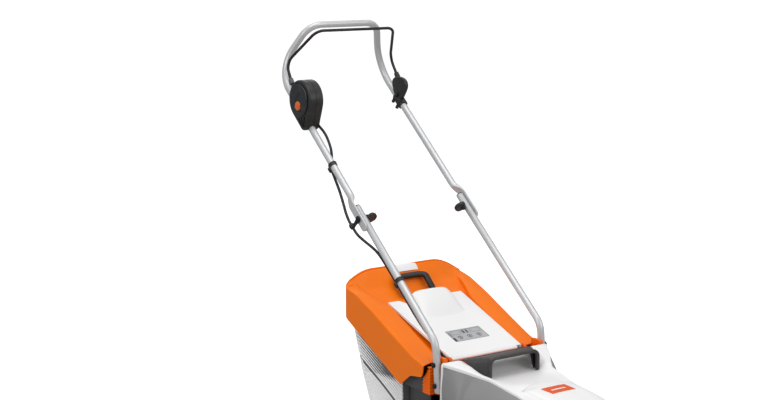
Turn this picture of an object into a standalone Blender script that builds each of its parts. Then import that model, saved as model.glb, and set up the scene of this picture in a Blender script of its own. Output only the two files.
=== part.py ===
"""Battery walk-behind lawn mower with a folding handle and a rigid grass box.

Metres, +Z up. The mower's front faces -Y and the user's right-hand side is -X. The origin is on the
ground, under the middle of the machine. Each sub-part is one object; moving ones hang from an empty
that sits on their joint's axis.
"""
import math
from math import cos, sin, pi, radians

import bmesh
import bpy
from mathutils import Matrix, Vector

# ---- driving dimensions --------------------------------------------------------------------------
GAP = 0.0003                    # clearance left between neighbouring solids
TUBE_X = 0.1675                 # half the distance between the two handle tubes
TUBE_R = 0.0095                 # handle tube, 19 mm across
SLOPE = radians(40)             # rise of the handle's straight run
PIVOT = (0.191, 0.592)          # fold axis of the upper handle (y, z)
FOOT_END = (-0.134, 0.205)      # lower end of the lower tubes
FOOT_RUN = 0.4086               # pivot to the corner between the foot and the straight run
FOOT_BOLTS = ((-0.1325, 0.224), (-0.1275, 0.276))
RUN_TO_KINK = 0.551             # pivot to the corner below the grip
GRIP_TOP = (0.111, 0.536, 1.073)   # corner of the cross bar (half width, y, z)
BAIL_AXIS = (0.520, 0.908)      # (y, z)
BAIL_R = 0.004
CABLE_R = 0.0032
BOLT_R = 0.003

BLADE_Y = -0.355                # blade and motor centre
BLADE_R = 0.165
BLADE_LOW = 0.0315              # underside of the blade, at the lowest cut
BOWL_R = 0.180
DECK_TOP = 0.150
SKIRT_Z = 0.022
REAR_WHEEL = (0.090, 0.034, -0.109)    # radius, width, y of the wheel's centre
FRONT_WHEEL = (0.070, 0.030, -0.524)
WHEEL_OUT = 0.198               # outer face of the rear wheels
CRANK = 0.050                   # arm of the cranked axles
CRANK_REST = radians(24)        # arm's angle above the horizontal at the lowest cut
AXLE_R = 0.005
FRONT_Y = -0.5959

FLAP_AXIS = (-0.113, 0.2765)
FLAP_SLOPE = 0.345
FLAP_T = 0.003
LID_T = 0.0025
LID_HALF = 0.190
LID_REAR = 0.262
BOX_HALF = 0.175
SHELL_T = 0.003

ORANGE = ((0.80, 0.24, 0.02), 0.38)
WHITE = ((0.82, 0.82, 0.81), 0.42)
GREY = ((0.30, 0.30, 0.30), 0.50)
DARK = ((0.055, 0.056, 0.058), 0.50)
BLACK = ((0.02, 0.02, 0.02), 0.45)
SILVER = ((0.62, 0.63, 0.64), 0.30)
STEEL = ((0.50, 0.50, 0.50), 0.35)
RUBBER = ((0.03, 0.03, 0.03), 0.80)

SIDES = ((-1, "right"), (1, "left"))


# ---- scene and helpers ---------------------------------------------------------------------------
for old in list(bpy.data.objects):
    bpy.data.objects.remove(old, do_unlink=True)

parts = bpy.data.collections.new("lawn_mower")
tools = bpy.data.collections.new("cutters")
bpy.context.scene.collection.children.link(parts)
bpy.context.scene.collection.children.link(tools)


def finish(look):
    """The material of one part from its (colour, roughness); steel is metallic."""
    colour, roughness = look
    mat = bpy.data.materials.new("mat")
    mat.use_nodes = True
    shader = mat.node_tree.nodes["Principled BSDF"]
    shader.inputs["Base Color"].default_value = (*colour, 1)
    shader.inputs["Roughness"].default_value = roughness
    shader.inputs["Metallic"].default_value = 1.0 if look == STEEL else 0.0
    return mat


def add(name, data, look=None, matrix=None):
    """A new object: a part where it has a look, a tool for a Boolean where it has none."""
    obj = bpy.data.objects.new(name, data)
    if matrix is not None:
        obj.matrix_world = matrix
    if look is None:
        tools.objects.link(obj)
        obj.hide_render = True
        obj.display_type = "WIRE"
    else:
        parts.objects.link(obj)
        obj.data.materials.append(finish(look))
    return obj


def from_bmesh(name, bm, look, matrix=None):
    mesh = bpy.data.meshes.new(name)
    bm.to_mesh(mesh)
    bm.free()
    return add(name, mesh, look, matrix)


def block(name, low, high, look=None, bevel=0.0):
    """A box between two corners, its edges rounded by bevel."""
    low, high = Vector(low), Vector(high)
    bm = bmesh.new()
    bmesh.ops.create_cube(bm, size=1.0)
    size = high - low
    for vert in bm.verts:
        vert.co = Vector(a * b for a, b in zip(vert.co, size))
    obj = from_bmesh(name, bm, look, Matrix.Translation((low + high) / 2))
    if bevel:
        mod = obj.modifiers.new("round", "BEVEL")
        mod.width = bevel
        mod.segments = 2
    return obj


def rod(name, start, end, radius, look=None, sides=16):
    """A cylinder from start to end."""
    start, end = Vector(start), Vector(end)
    axis = end - start
    bm = bmesh.new()
    bmesh.ops.create_cone(bm, cap_ends=True, segments=sides, radius1=radius, radius2=radius,
                          depth=axis.length)
    turn = Vector((0, 0, 1)).rotation_difference(axis).to_matrix().to_4x4()
    return from_bmesh(name, bm, look, Matrix.Translation((start + end) / 2) @ turn)


AXES = {
    "X": Matrix(((0, 0, 1, 0), (1, 0, 0, 0), (0, 1, 0, 0), (0, 0, 0, 1))),
    "Y": Matrix(((1, 0, 0, 0), (0, 0, -1, 0), (0, 1, 0, 0), (0, 0, 0, 1))),
    "Z": Matrix.Identity(4),
}


def plate(name, outline, axis, low, high, look=None, holes=(), frame=None):
    """A flat outline, with holes, extruded along an axis from low to high.

    Outlines are (y, z) for X, (x, z) for Y and (x, y) for Z. frame replaces the axis with a matrix.
    """
    curve = bpy.data.curves.new(name, "CURVE")
    curve.dimensions = "2D"
    curve.fill_mode = "BOTH"
    curve.extrude = (high - low) / 2
    for loop in (outline, *holes):
        spline = curve.splines.new("POLY")
        spline.points.add(len(loop) - 1)
        for point, (a, b) in zip(spline.points, loop):
            point.co = (a, b, 0, 1)
        spline.use_cyclic_u = True
    middle = (low + high) / 2
    if frame is None:
        frame = AXES[axis] @ Matrix.Translation((0, 0, -middle if axis == "Y" else middle))
    flat = bpy.data.objects.new(name + "_outline", curve)
    bpy.context.scene.collection.objects.link(flat)
    mesh = bpy.data.meshes.new_from_object(flat.evaluated_get(bpy.context.evaluated_depsgraph_get()))
    bpy.data.objects.remove(flat)
    bm = bmesh.new()
    bm.from_mesh(mesh)
    bmesh.ops.remove_doubles(bm, verts=bm.verts, dist=1e-6)
    bm.to_mesh(mesh)
    bm.free()
    return add(name, mesh, look, frame)


def tube_curve(name, points, radius, look=None, resolution=4):
    """A round bar along points, with filled ends."""
    curve = bpy.data.curves.new(name, "CURVE")
    curve.dimensions = "3D"
    curve.bevel_depth = radius
    curve.bevel_resolution = resolution
    curve.use_fill_caps = True
    spline = curve.splines.new("POLY")
    spline.points.add(len(points) - 1)
    for point, co in zip(spline.points, points):
        point.co = (*co, 1)
    return add(name, curve, look)


def as_mesh(obj):
    """The curve object made a welded mesh, so that it can be cut."""
    name, look = obj.name, obj.data.materials[0]
    mesh = bpy.data.meshes.new_from_object(obj.evaluated_get(bpy.context.evaluated_depsgraph_get()))
    bm = bmesh.new()
    bm.from_mesh(mesh)
    bmesh.ops.remove_doubles(bm, verts=bm.verts, dist=1e-6)
    bm.to_mesh(mesh)
    bm.free()
    matrix = obj.matrix_world.copy()
    bpy.data.objects.remove(obj)
    new = bpy.data.objects.new(name, mesh)
    new.matrix_world = matrix
    parts.objects.link(new)
    mesh.materials.clear()
    mesh.materials.append(look)
    return new


def turned(name, profile, centre, axis, look=None, steps=20, closed=False):
    """A profile of (radius, height) turned about axis; its outer side runs from top to bottom."""
    bm = bmesh.new()
    verts = [bm.verts.new((r, 0, h)) for r, h in profile]
    for a, b in zip(verts, verts[1:]):
        bm.edges.new((a, b))
    if closed:
        bm.edges.new((verts[-1], verts[0]))
    turn = Vector((0, 0, 1)).rotation_difference(Vector(axis)).to_matrix().to_4x4()
    obj = from_bmesh(name, bm, look, Matrix.Translation(Vector(centre)) @ turn)
    mod = obj.modifiers.new("screw", "SCREW")
    mod.steps = steps
    mod.render_steps = steps
    mod.use_merge_vertices = True
    mod.merge_threshold = 1e-5
    return obj


def grid(name, rows, look, thickness=0.0, mirror=False, closed=False, cap=False, caps=False):
    """A surface through rows of points; a wall where it has a thickness, which grows inwards."""
    bm = bmesh.new()
    verts = [[bm.verts.new(p) for p in row] for row in rows]
    for low, high in zip(verts, verts[1:]):
        count = len(low)
        for i in range(count if closed else count - 1):
            j = (i + 1) % count
            bm.faces.new((low[i], low[j], high[j], high[i]))
    if cap or caps:
        bm.faces.new(list(reversed(verts[0])))
    if caps:
        bm.faces.new(verts[-1])
        bmesh.ops.recalc_face_normals(bm, faces=bm.faces)
    obj = from_bmesh(name, bm, look)
    if mirror:
        mod = obj.modifiers.new("mirror", "MIRROR")
        mod.use_axis = (True, False, False)
        mod.merge_threshold = 1e-5
    if thickness:
        mod = obj.modifiers.new("wall", "SOLIDIFY")
        mod.thickness = thickness
        mod.offset = -1
        mod.use_even_offset = True
    return obj


def combine(obj, tool, operation):
    mod = obj.modifiers.new(operation.lower(), "BOOLEAN")
    mod.operation = operation
    mod.solver = "EXACT"
    mod.object = tool


def cut(obj, *cutters):
    for tool in cutters:
        combine(obj, tool, "DIFFERENCE")


def join(obj, *pieces):
    for tool in pieces:
        combine(obj, tool, "UNION")


def pivot(name, location, children):
    """An empty on a joint's axis, with the moving pieces hung from it."""
    empty = bpy.data.objects.new(name, None)
    empty.location = location
    empty.empty_display_size = 0.02
    parts.objects.link(empty)
    for child in children:
        child.parent = empty
        child.matrix_parent_inverse = Matrix.Translation(-Vector(location))


def rounded(points, radii, step=radians(14)):
    """The points of a route with each inner corner replaced by an arc of its radius."""
    points = [Vector(p) for p in points]
    route = [points[0]]
    for before, corner, after, radius in zip(points, points[1:], points[2:], radii):
        u, v = (before - corner).normalized(), (after - corner).normalized()
        half = u.angle(v) / 2
        centre = corner + (u + v).normalized() * radius / sin(half)
        start = corner + u * radius / math.tan(half)
        turn = pi - 2 * half
        count = max(2, round(turn / step))
        axis = u.cross(v)
        for i in range(count + 1):
            spin = Matrix.Rotation(-turn * i / count, 3, axis)
            route.append(centre + spin @ (start - centre))
    route.append(points[-1])
    return route


def smooth(points, pieces=3):
    """A smooth curve through the points of a cable's route."""
    points = [Vector(p) for p in points]
    ends = [2 * points[0] - points[1], *points, 2 * points[-1] - points[-2]]
    route = []
    for a, b, c, d in zip(ends, ends[1:], ends[2:], ends[3:]):
        for i in range(pieces):
            t = i / pieces
            route.append(0.5 * (2 * b + (c - a) * t + (2 * a - 5 * b + 4 * c - d) * t * t
                                + (3 * b - a - 3 * c + d) * t ** 3))
    route.append(points[-1])
    return route


def capsule(a, ra, b, rb, count=8):
    """Outline around two circles: an arc on each, joined by their common tangents."""
    ax, ay = a
    bx, by = b
    along = math.atan2(by - ay, bx - ax)
    spread = math.acos((ra - rb) / math.hypot(bx - ax, by - ay))
    outline = []
    for i in range(2 * count + 1):
        angle = along + spread + (2 * pi - 2 * spread) * i / (2 * count)
        outline.append((ax + ra * cos(angle), ay + ra * sin(angle)))
    for i in range(count + 1):
        angle = along - spread + 2 * spread * i / count
        outline.append((bx + rb * cos(angle), by + rb * sin(angle)))
    return outline


def circle(centre, radius, count=16):
    return [(centre[0] + radius * cos(2 * pi * i / count), centre[1] + radius * sin(2 * pi * i / count))
            for i in range(count)]


def lerp_table(table, at):
    """The value at a place in a list of (place, value), straight between the entries."""
    if at <= table[0][0]:
        return table[0][1]
    for (a, va), (b, vb) in zip(table, table[1:]):
        if at <= b:
            return va + (vb - va) * (at - a) / (b - a)
    return table[-1][1]


def ease(t):
    t = min(1.0, max(0.0, t))
    return t * t * (3 - 2 * t)


def on_run(s, n=0.0, x=0.0):
    """A point by its distance along the handle's run from the pivot and square to the run."""
    return Vector((x, PIVOT[0] + s * cos(SLOPE) - n * sin(SLOPE),
                   PIVOT[1] + s * sin(SLOPE) + n * cos(SLOPE)))


RUN = Vector((0, cos(SLOPE), sin(SLOPE)))
OUT = Vector((0, -sin(SLOPE), cos(SLOPE)))


def run_frame(origin):
    """Local X along the world's X, local Y square to the run, local Z down the run."""
    rotation = Matrix((Vector((1, 0, 0)), OUT, -RUN)).transposed().to_4x4()
    return Matrix.Translation(origin) @ rotation


# ---- the deck ------------------------------------------------------------------------------------
def crank_pivot(wheel):
    """Turning axis of a cranked axle, from the place of its wheels."""
    radius, _, y = wheel
    return (y - CRANK * cos(CRANK_REST), radius - CRANK * sin(CRANK_REST))


REAR_PIVOT = crank_pivot(REAR_WHEEL)
FRONT_PIVOT = crank_pivot(FRONT_WHEEL)
BLOCK_HALF = 0.130              # rear block with the grass channel
CHANNEL_HALF = 0.125
CABLE_IN = (0.137, -0.1250)     # where the cable drops into the deck, beside the flap's hinge
BLOCK_FRONT = -0.1455
BLOCK_REAR = -0.105
BLOCK_TOP = 0.268
CHEEK = (0.1480, TUBE_X - TUBE_R - GAP)     # inner and outer side of the plates that hold the feet


def make_deck():
    """The open-bottomed cutting deck with its rear channel, nose, axle bearings and handle cheeks."""
    centre = (0, BLADE_Y)
    deck = rod("deck_housing", (*centre, SKIRT_Z), (*centre, DECK_TOP), BOWL_R, ORANGE, 40)
    nose = plate("nose", [(FRONT_Y, 0.030), (FRONT_Y, 0.085), (-0.570, 0.118), (-0.50, 0.135),
                          (BLADE_Y, 0.140), (BLADE_Y, 0.030)], "X", -0.125, 0.125)
    rear = plate("rear_block", [(BLADE_Y, 0.060), (BLADE_Y, DECK_TOP), (-0.290, DECK_TOP),
                                (-0.200, 0.200), (BLOCK_FRONT, 0.232), (BLOCK_FRONT, BLOCK_TOP),
                                (BLOCK_REAR, BLOCK_TOP), (BLOCK_REAR, 0.106), (-0.172, 0.092),
                                (-0.190, 0.060)], "X", -BLOCK_HALF, BLOCK_HALF)
    join(deck, nose, rear)
    low_bolt, high_bolt = FOOT_BOLTS
    for side, label in SIDES:
        inner, outer = CHEEK
        cheek = plate("cheek_" + label, [(-0.1440, 0.196), (-0.1440, 0.292), (-0.1100, 0.292),
                                         (-0.1070, 0.196)], "X", *sorted((side * inner, side * outer)))
        bridge = block("bridge_" + label, (min(side * 0.125, side * 0.1485), -0.1440, 0.205),
                       (max(side * 0.125, side * 0.1485), -0.1110, 0.262))
        flange = plate("flange_" + label, [(-0.1120, 0.196), (-0.1120, 0.266), (-0.0840, 0.234),
                                           (-0.0840, 0.196)], "X",
                       *sorted((side * 0.1485, side * 0.1775)))
        ear = plate("ear_" + label, capsule(FLAP_AXIS, 0.0075, (FLAP_AXIS[0], 0.262), 0.0090, 5),
                    "X", *sorted((side * 0.1160, side * 0.1240)))
        bracket = plate("bracket_" + label, capsule(REAR_PIVOT, 0.010, (REAR_PIVOT[0], 0.105), 0.014, 5),
                        "X", *sorted((side * 0.100, side * 0.106)))
        join(deck, cheek, bridge, flange, ear, bracket)
    bowl = rod("bowl_space", (*centre, 0), (*centre, DECK_TOP - 0.004), BOWL_R - 0.004, None, 40)
    nose_space = plate("nose_space", [(FRONT_Y + 0.004, 0.0), (FRONT_Y + 0.004, 0.082), (-0.569, 0.114),
                                      (-0.530, 0.126), (-0.530, 0.0)], "X", -0.121, 0.121)
    channel = plate("channel", [(BLADE_Y, 0.066), (BLADE_Y, DECK_TOP - 0.004), (-0.289, DECK_TOP - 0.004),
                                (-0.200, 0.195), (-0.140, 0.227), (-0.140, 0.240),
                                (-0.090, 0.240), (-0.090, 0.112), (-0.170, 0.098),
                                (-0.190, 0.066)], "X", -CHANNEL_HALF, CHANNEL_HALF)
    cut(deck, bowl, nose_space, channel)
    cut(deck, rod("motor_hole", (*centre, 0.14), (*centre, 0.16), 0.030),
        rod("rear_bearing", (-0.2, *REAR_PIVOT), (0.2, *REAR_PIVOT), AXLE_R + GAP),
        rod("front_bearing", (-0.2, *FRONT_PIVOT), (0.2, *FRONT_PIVOT), AXLE_R + GAP),
        rod("flap_bearing", (-0.2, *FLAP_AXIS), (0.2, *FLAP_AXIS), 0.0025 + GAP),
        rod("low_bolt_hole", (-0.2, *low_bolt), (0.2, *low_bolt), BOLT_R + GAP),
        rod("high_bolt_hole", (-0.2, *high_bolt), (0.2, *high_bolt), BOLT_R + GAP),
        rod("cable_hole", (-CABLE_IN[0], CABLE_IN[1], 0.250), (-CABLE_IN[0], CABLE_IN[1], 0.30),
            CABLE_R + GAP))
    return deck


# ---- hood ----------------------------------------------------------------------------------------
HOOD_REAR = -0.1465
EDGE_Z = ((-0.576, 0.160), (-0.550, 0.185), (-0.500, 0.210), (-0.450, 0.222), (-0.369, 0.233),
          (-0.304, 0.246), (-0.250, 0.256), (-0.222, 0.264), (-0.186, 0.276), (-0.140, 0.284))
EDGE_HALF = ((-0.576, 0.060), (-0.565, 0.075), (-0.535, 0.084), (-0.450, 0.088), (-0.345, 0.089),
             (-0.304, 0.093), (-0.250, 0.098), (-0.222, 0.116), (-0.186, 0.143), (-0.140, 0.166))
CENTRE_Z = ((-0.576, 0.165), (-0.550, 0.200), (-0.500, 0.236), (-0.407, 0.248), (-0.340, 0.250),
            (-0.270, 0.247), (-0.217, 0.244), (-0.185, 0.247), (-0.154, 0.2672),
            (-0.1465, 0.268))
FLAT_HALF = ((-0.34, 0.0), (-0.28, 0.045), (-0.217, 0.072), (-0.140, 0.088))
RISE_HALF = ((-0.34, 0.090), (-0.250, 0.098), (-0.217, 0.112), (-0.140, 0.113))
SIDE_HALF = ((-0.576, 0.066), (-0.550, 0.100), (-0.500, 0.140), (-0.420, 0.166), (-0.355, 0.172),
             (-0.140, 0.169))
SIDE_LOW = ((-0.215, DECK_TOP + 0.003), (-0.203, 0.186))    # the panel clears the rear wheel


def hood_z(x, y):
    """Height of the hood's top: level in the middle, then rising or falling to its edge."""
    flat = lerp_table(FLAT_HALF, y)
    rise = lerp_table(RISE_HALF, y)
    share = ease((abs(x) - flat) / (rise - flat)) if y > -0.34 else (abs(x) / rise) ** 5
    middle, edge = lerp_table(CENTRE_Z, y), lerp_table(EDGE_Z, y)
    return middle + (edge - middle) * min(1.0, share)


HOOD_ROWS = (-0.576, -0.569, -0.550, -0.526, -0.495, -0.450, -0.400, -0.345, -0.300, -0.265, -0.235,
             -0.215, -0.203, -0.185, -0.168, -0.154, HOOD_REAR)
LID_FRONT = -0.502
LID_HINGE = (LID_FRONT, hood_z(0, LID_FRONT) - 0.0042)
LID_OPEN_HALF = 0.072


def make_hood():
    """The white top skin, with an opening for the battery lid and two lugs for its pin."""
    rows = []
    for y in HOOD_ROWS:
        half = lerp_table(EDGE_HALF, y)
        rows.append([(-half * (1 - i / 7), y, hood_z(half * (1 - i / 7), y)) for i in range(8)])
    hood = grid("hood_cover", rows, WHITE, SHELL_T, mirror=True)
    opening = block("lid_opening", (-LID_OPEN_HALF, LID_FRONT - 0.0050, 0.19),
                    (LID_OPEN_HALF, -0.336, 0.27))
    cut(hood, opening)
    lugs = plate("pin_lugs", capsule(LID_HINGE, 0.0038, (LID_FRONT - 0.0115, LID_HINGE[1] - 0.0060),
                                     0.0045, 5), "X", -0.060, 0.060)
    cut(lugs, block("lug_gap", (-0.054, LID_FRONT - 0.03, 0.20), (0.054, LID_FRONT + 0.03, 0.26)))
    join(hood, lugs)
    cut(hood, rod("pin_bearing", (-0.07, *LID_HINGE), (0.07, *LID_HINGE), 0.0023))
    return hood


def make_battery_lid():
    """A domed lid on a knuckle along its front edge."""
    rows = []
    for i in range(7):
        y = LID_FRONT + (-0.338 - LID_FRONT) * i / 6
        half = 0.0705
        rows.append([(-half + 2 * half * j / 10, y, hood_z(half * (1 - j / 5), y)) for j in range(11)])
    lid = grid("battery_lid", rows, WHITE, SHELL_T)
    join(lid, rod("knuckle", (-0.0525, *LID_HINGE), (0.0525, *LID_HINGE), 0.0042))
    cut(lid, rod("knuckle_bore", (-0.06, *LID_HINGE), (0.06, *LID_HINGE), 0.0023, None, 12),
        *[block("lug_room_" + label, (min(side * 0.0530, side * 0.0615), LID_FRONT - 0.01, 0.20),
                (max(side * 0.0530, side * 0.0615), LID_FRONT + 0.0065, 0.26)) for side, label in SIDES])
    pin = rod("lid_pin", (-0.0600, *LID_HINGE), (0.0600, *LID_HINGE), 0.0020, STEEL, 12)
    pivot("battery_lid_axis", (0, *LID_HINGE), [lid])
    return lid, pin


def make_side_panels():
    """The two grey side skins, from under the hood's edge out to the deck."""
    for side, label in SIDES:
        rows = []
        for y in HOOD_ROWS:
            top, half = lerp_table(EDGE_Z, y) - 0.0045, lerp_table(EDGE_HALF, y) - 0.001
            foot, low = lerp_table(SIDE_HALF, y), lerp_table(SIDE_LOW, y)
            top = max(top, low + 0.004)
            row = []
            for i in range(5):
                t = i / 4
                row.append((side * (half + (foot - half) * t ** 0.8), y + 0.0004, top + (low - top) * t))
            rows.append(row[::-1] if side < 0 else row)
        grid("side_panel_" + label, rows, GREY, 0.0025)


def make_carry_handle():
    """A bridge over the hood's hollow: narrow in front, wide and low behind."""
    rows = []
    for i in range(5):
        t = i / 4
        y = -0.219 + 0.068 * t
        half = 0.078 + 0.031 * t
        foot = hood_z(half, y) + 0.0045
        top = max(0.2985 - 0.016 * t * t, foot + 0.003)
        corner = min(0.016, (top - foot) * 0.7)
        arch = rounded([(-half, y, foot), (-half, y, top), (half, y, top), (half, y, foot)],
                       (corner, corner), radians(22))
        rows.append(arch)
    return grid("carry_handle", rows, BLACK, 0.0055)


# ---- motor, battery and blade --------------------------------------------------------------------
def make_drive():
    """Motor cup under the deck's roof, its rotor with the blade, and the battery and electronics."""
    top = DECK_TOP - 0.004 - GAP
    centre = (0, BLADE_Y, 0)
    turned("motor_housing", [(0, top), (0.052, top), (0.052, 0.082), (0.048, 0.078), (0.046, 0.078),
                             (0.046, top - 0.005), (0, top - 0.005)], centre, (0, 0, 1), DARK, 24)
    rotor = turned("motor_rotor", [(0, 0.138), (0.006, 0.138), (0.006, 0.134), (0.043, 0.134),
                                   (0.043, 0.086), (0.0065, 0.086), (0.0065, 0.0400), (0, 0.0400)],
                   centre, (0, 0, 1), STEEL, 20)
    carrier = turned("blade_carrier", [(0.0070, 0.062), (0.016, 0.062), (0.030, 0.040), (0.030, 0.0348),
                                       (0.0045, 0.0348), (0.0045, 0.0395), (0.0070, 0.0395)],
                     centre, (0, 0, 1), DARK, 20, closed=True)
    blade = make_blade()
    bolt = turned("blade_bolt", [(0, 0.0397), (0.0040, 0.0397), (0.0040, 0.0312), (0.011, 0.0312),
                                 (0.011, 0.0250), (0, 0.0250)], centre, (0, 0, 1), STEEL, 12)
    pivot("blade_axis", (0, BLADE_Y, 0.1), [rotor, carrier, blade, bolt])
    block("control_unit", (-0.050, -0.340, DECK_TOP + 0.001), (0.050, -0.294, 0.178), DARK, 0.003)
    bay = block("battery_bay", (-0.062, -0.490, DECK_TOP + 0.001), (0.062, -0.347, 0.196), DARK)
    cut(bay, block("bay_space", (-0.0585, -0.4865, 0.1545), (0.0585, -0.3505, 0.25)))
    pack = block("battery_pack", (-0.055, -0.483, 0.1560), (0.055, -0.354, 0.2030), BLACK, 0.004)
    pivot("battery_slide", (0, -0.418, 0.156), [pack])


def make_blade():
    """A flat bar whose trailing edge lifts towards each tip, on opposite sides at the two ends."""
    low, high = BLADE_LOW, BLADE_LOW + 0.003
    rows = []
    for x, half, lift in ((0.0, 0.026, 0.0), (0.045, 0.026, 0.0), (0.105, 0.023, 0.0),
                          (0.130, 0.022, 0.010), (BLADE_R, 0.019, 0.016)):
        for end in (1, -1) if x else (1,):
            front, back = (lift, 0.0) if end < 0 else (0.0, lift)
            rows.append([(end * x, -half, low + front), (end * x, 0, low), (end * x, half, low + back),
                         (end * x, half, high + back), (end * x, 0, high), (end * x, -half, high + front)])
    rows.sort(key=lambda row: row[0][0])
    blade = grid("blade", rows, STEEL, closed=True, caps=True)
    blade.location = (0, BLADE_Y, 0)
    cut(blade, rod("blade_bore", (0, BLADE_Y, 0.02), (0, BLADE_Y, 0.05), 0.0045, None, 12))
    return blade


# ---- running gear --------------------------------------------------------------------------------
def make_axle(name, wheel, hub_out, crank_x, lever_angle):
    """A cranked axle, its height lever and its two wheels with tyres."""
    radius, width, y = wheel
    centre = (y, radius)
    turn_y, turn_z = crank_pivot(wheel)
    stub = hub_out - 0.0048
    route = rounded([(-stub, *centre), (-crank_x, *centre), (-crank_x, turn_y, turn_z),
                     (crank_x, turn_y, turn_z), (crank_x, *centre), (stub, *centre)],
                    [0.006] * 4, radians(30))
    axle = tube_curve(name + "_axle", route, AXLE_R, STEEL, 3)
    end = (turn_y + 0.075 * cos(lever_angle), turn_z + 0.075 * sin(lever_angle))
    inner, outer = 0.1340, 0.1385
    lever = plate(name + "_height_lever", capsule((turn_y, turn_z), 0.012, end, 0.008, 6), "X",
                  inner, outer, BLACK)
    join(lever, rod("lever_knob_" + name, (outer - 0.002, *end), (outer + 0.024, *end), 0.008, None, 14))
    cut(lever, rod("lever_bore_" + name, (0.12, turn_y, turn_z), (0.145, turn_y, turn_z), AXLE_R + GAP))
    moving = [axle, lever]
    rim = radius - 0.018
    for side, label in SIDES:
        hub_x = side * (hub_out - width / 2 - 0.001)
        half = width / 2
        tyre = turned("%s_tyre_%s" % (name, label),
                      [(rim, half - 0.001), (radius - 0.006, half - 0.001), (radius, half - 0.007),
                       (radius, -half + 0.007), (radius - 0.006, -half + 0.001), (rim, -half + 0.001)],
                      (hub_x, *centre), (side, 0, 0), RUBBER, 20, closed=True)
        face = half + 0.001
        edge = rim - GAP
        hub = turned("%s_wheel_%s" % (name, label),
                     [(0, face), (0.017, face), (0.021, 0.006), (rim - 0.010, 0.006),
                      (rim - 0.006, half - 0.002), (edge, half - 0.002), (edge, -half + 0.002),
                      (rim - 0.006, -half + 0.002), (rim - 0.010, 0.001), (0.014, 0.001),
                      (0.012, -half), (AXLE_R + GAP, -half), (AXLE_R + GAP, face - 0.0045),
                      (0, face - 0.0045)], (hub_x, *centre), (side, 0, 0), WHITE, 20)
        pivot("%s_wheel_axis_%s" % (name, label), (hub_x, *centre), [tyre, hub])
    pivot(name + "_axle_axis", (0, turn_y, turn_z), moving)


# ---- lower handle --------------------------------------------------------------------------------
def make_lower_handle():
    """Two bent tubes, bolted to the deck's cheeks, with their bolts."""
    for side, label in SIDES:
        x = side * TUBE_X
        top = on_run(0.040, 0, x)
        route = rounded([(x, *FOOT_END), on_run(-FOOT_RUN, 0, x), top], [0.055])
        handle = as_mesh(tube_curve("lower_handle_" + label, route, TUBE_R, SILVER))
        holes = [rod("foot_hole_%s_%d" % (label, i), (x - 0.02, *at), (x + 0.02, *at), BOLT_R + GAP)
                 for i, at in enumerate(FOOT_BOLTS)]
        cut(handle, *holes, rod("pivot_hole_" + label, (x - 0.02, *PIVOT), (x + 0.02, *PIVOT),
                                BOLT_R + GAP))
        outer = TUBE_X + TUBE_R + GAP
        for place, at in zip(("lower", "upper"), FOOT_BOLTS):
            turned("foot_bolt_%s_%s" % (place, label),
                   [(0, 0.0050), (0.0045, 0.0050), (0.0065, 0.0030), (0.0065, 0), (BOLT_R, 0),
                    (BOLT_R, -0.0270), (0, -0.0270)], (side * outer, *at), (side, 0, 0), DARK, 12)
        seat = 0.0185 + TUBE_X if side < 0 else 0.0162 + TUBE_X
        turned("pivot_bolt_" + label,
               [(0, 0.0030), (0.0050, 0.0030), (0.0080, 0.0010), (0.0080, 0), (BOLT_R, 0),
                (BOLT_R, -(seat - 0.1400)), (0, -(seat - 0.1400))],
               (side * seat, *PIVOT), (side, 0, 0), BLACK, 12)


def make_wing_knobs():
    """Wing knobs on the inner side of the tubes: a hub and a rounded wing."""
    for side, label in SIDES:
        face = TUBE_X - TUBE_R - GAP
        knob = rod("wing_knob_" + label, (side * face, *PIVOT), (side * 0.1495, *PIVOT), 0.0100, BLACK)
        frame = run_frame(Vector((0, *PIVOT)))
        wing = plate("wing_" + label, capsule((side * 0.1410, -0.004), 0.0130, (side * 0.1460, 0.0100),
                                              0.0060, 6), "Z", -0.0035, 0.0035, None, frame=frame)
        join(knob, wing)
        cut(knob, rod("knob_bore_" + label, (side * 0.1390, *PIVOT), (side * 0.17, *PIVOT),
                      BOLT_R + GAP))
        pivot("wing_knob_axis_" + label, (side * face, *PIVOT), [knob])


# ---- upper handle --------------------------------------------------------------------------------
FLAT_X = 0.1807                 # middle of the flattened ends
FLAT = (0.0024, 0.0125)         # their half thickness and half width
FLAT_END = 0.044                # where the flat end starts to round out, from the pivot
ROUND_START = 0.082


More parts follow.
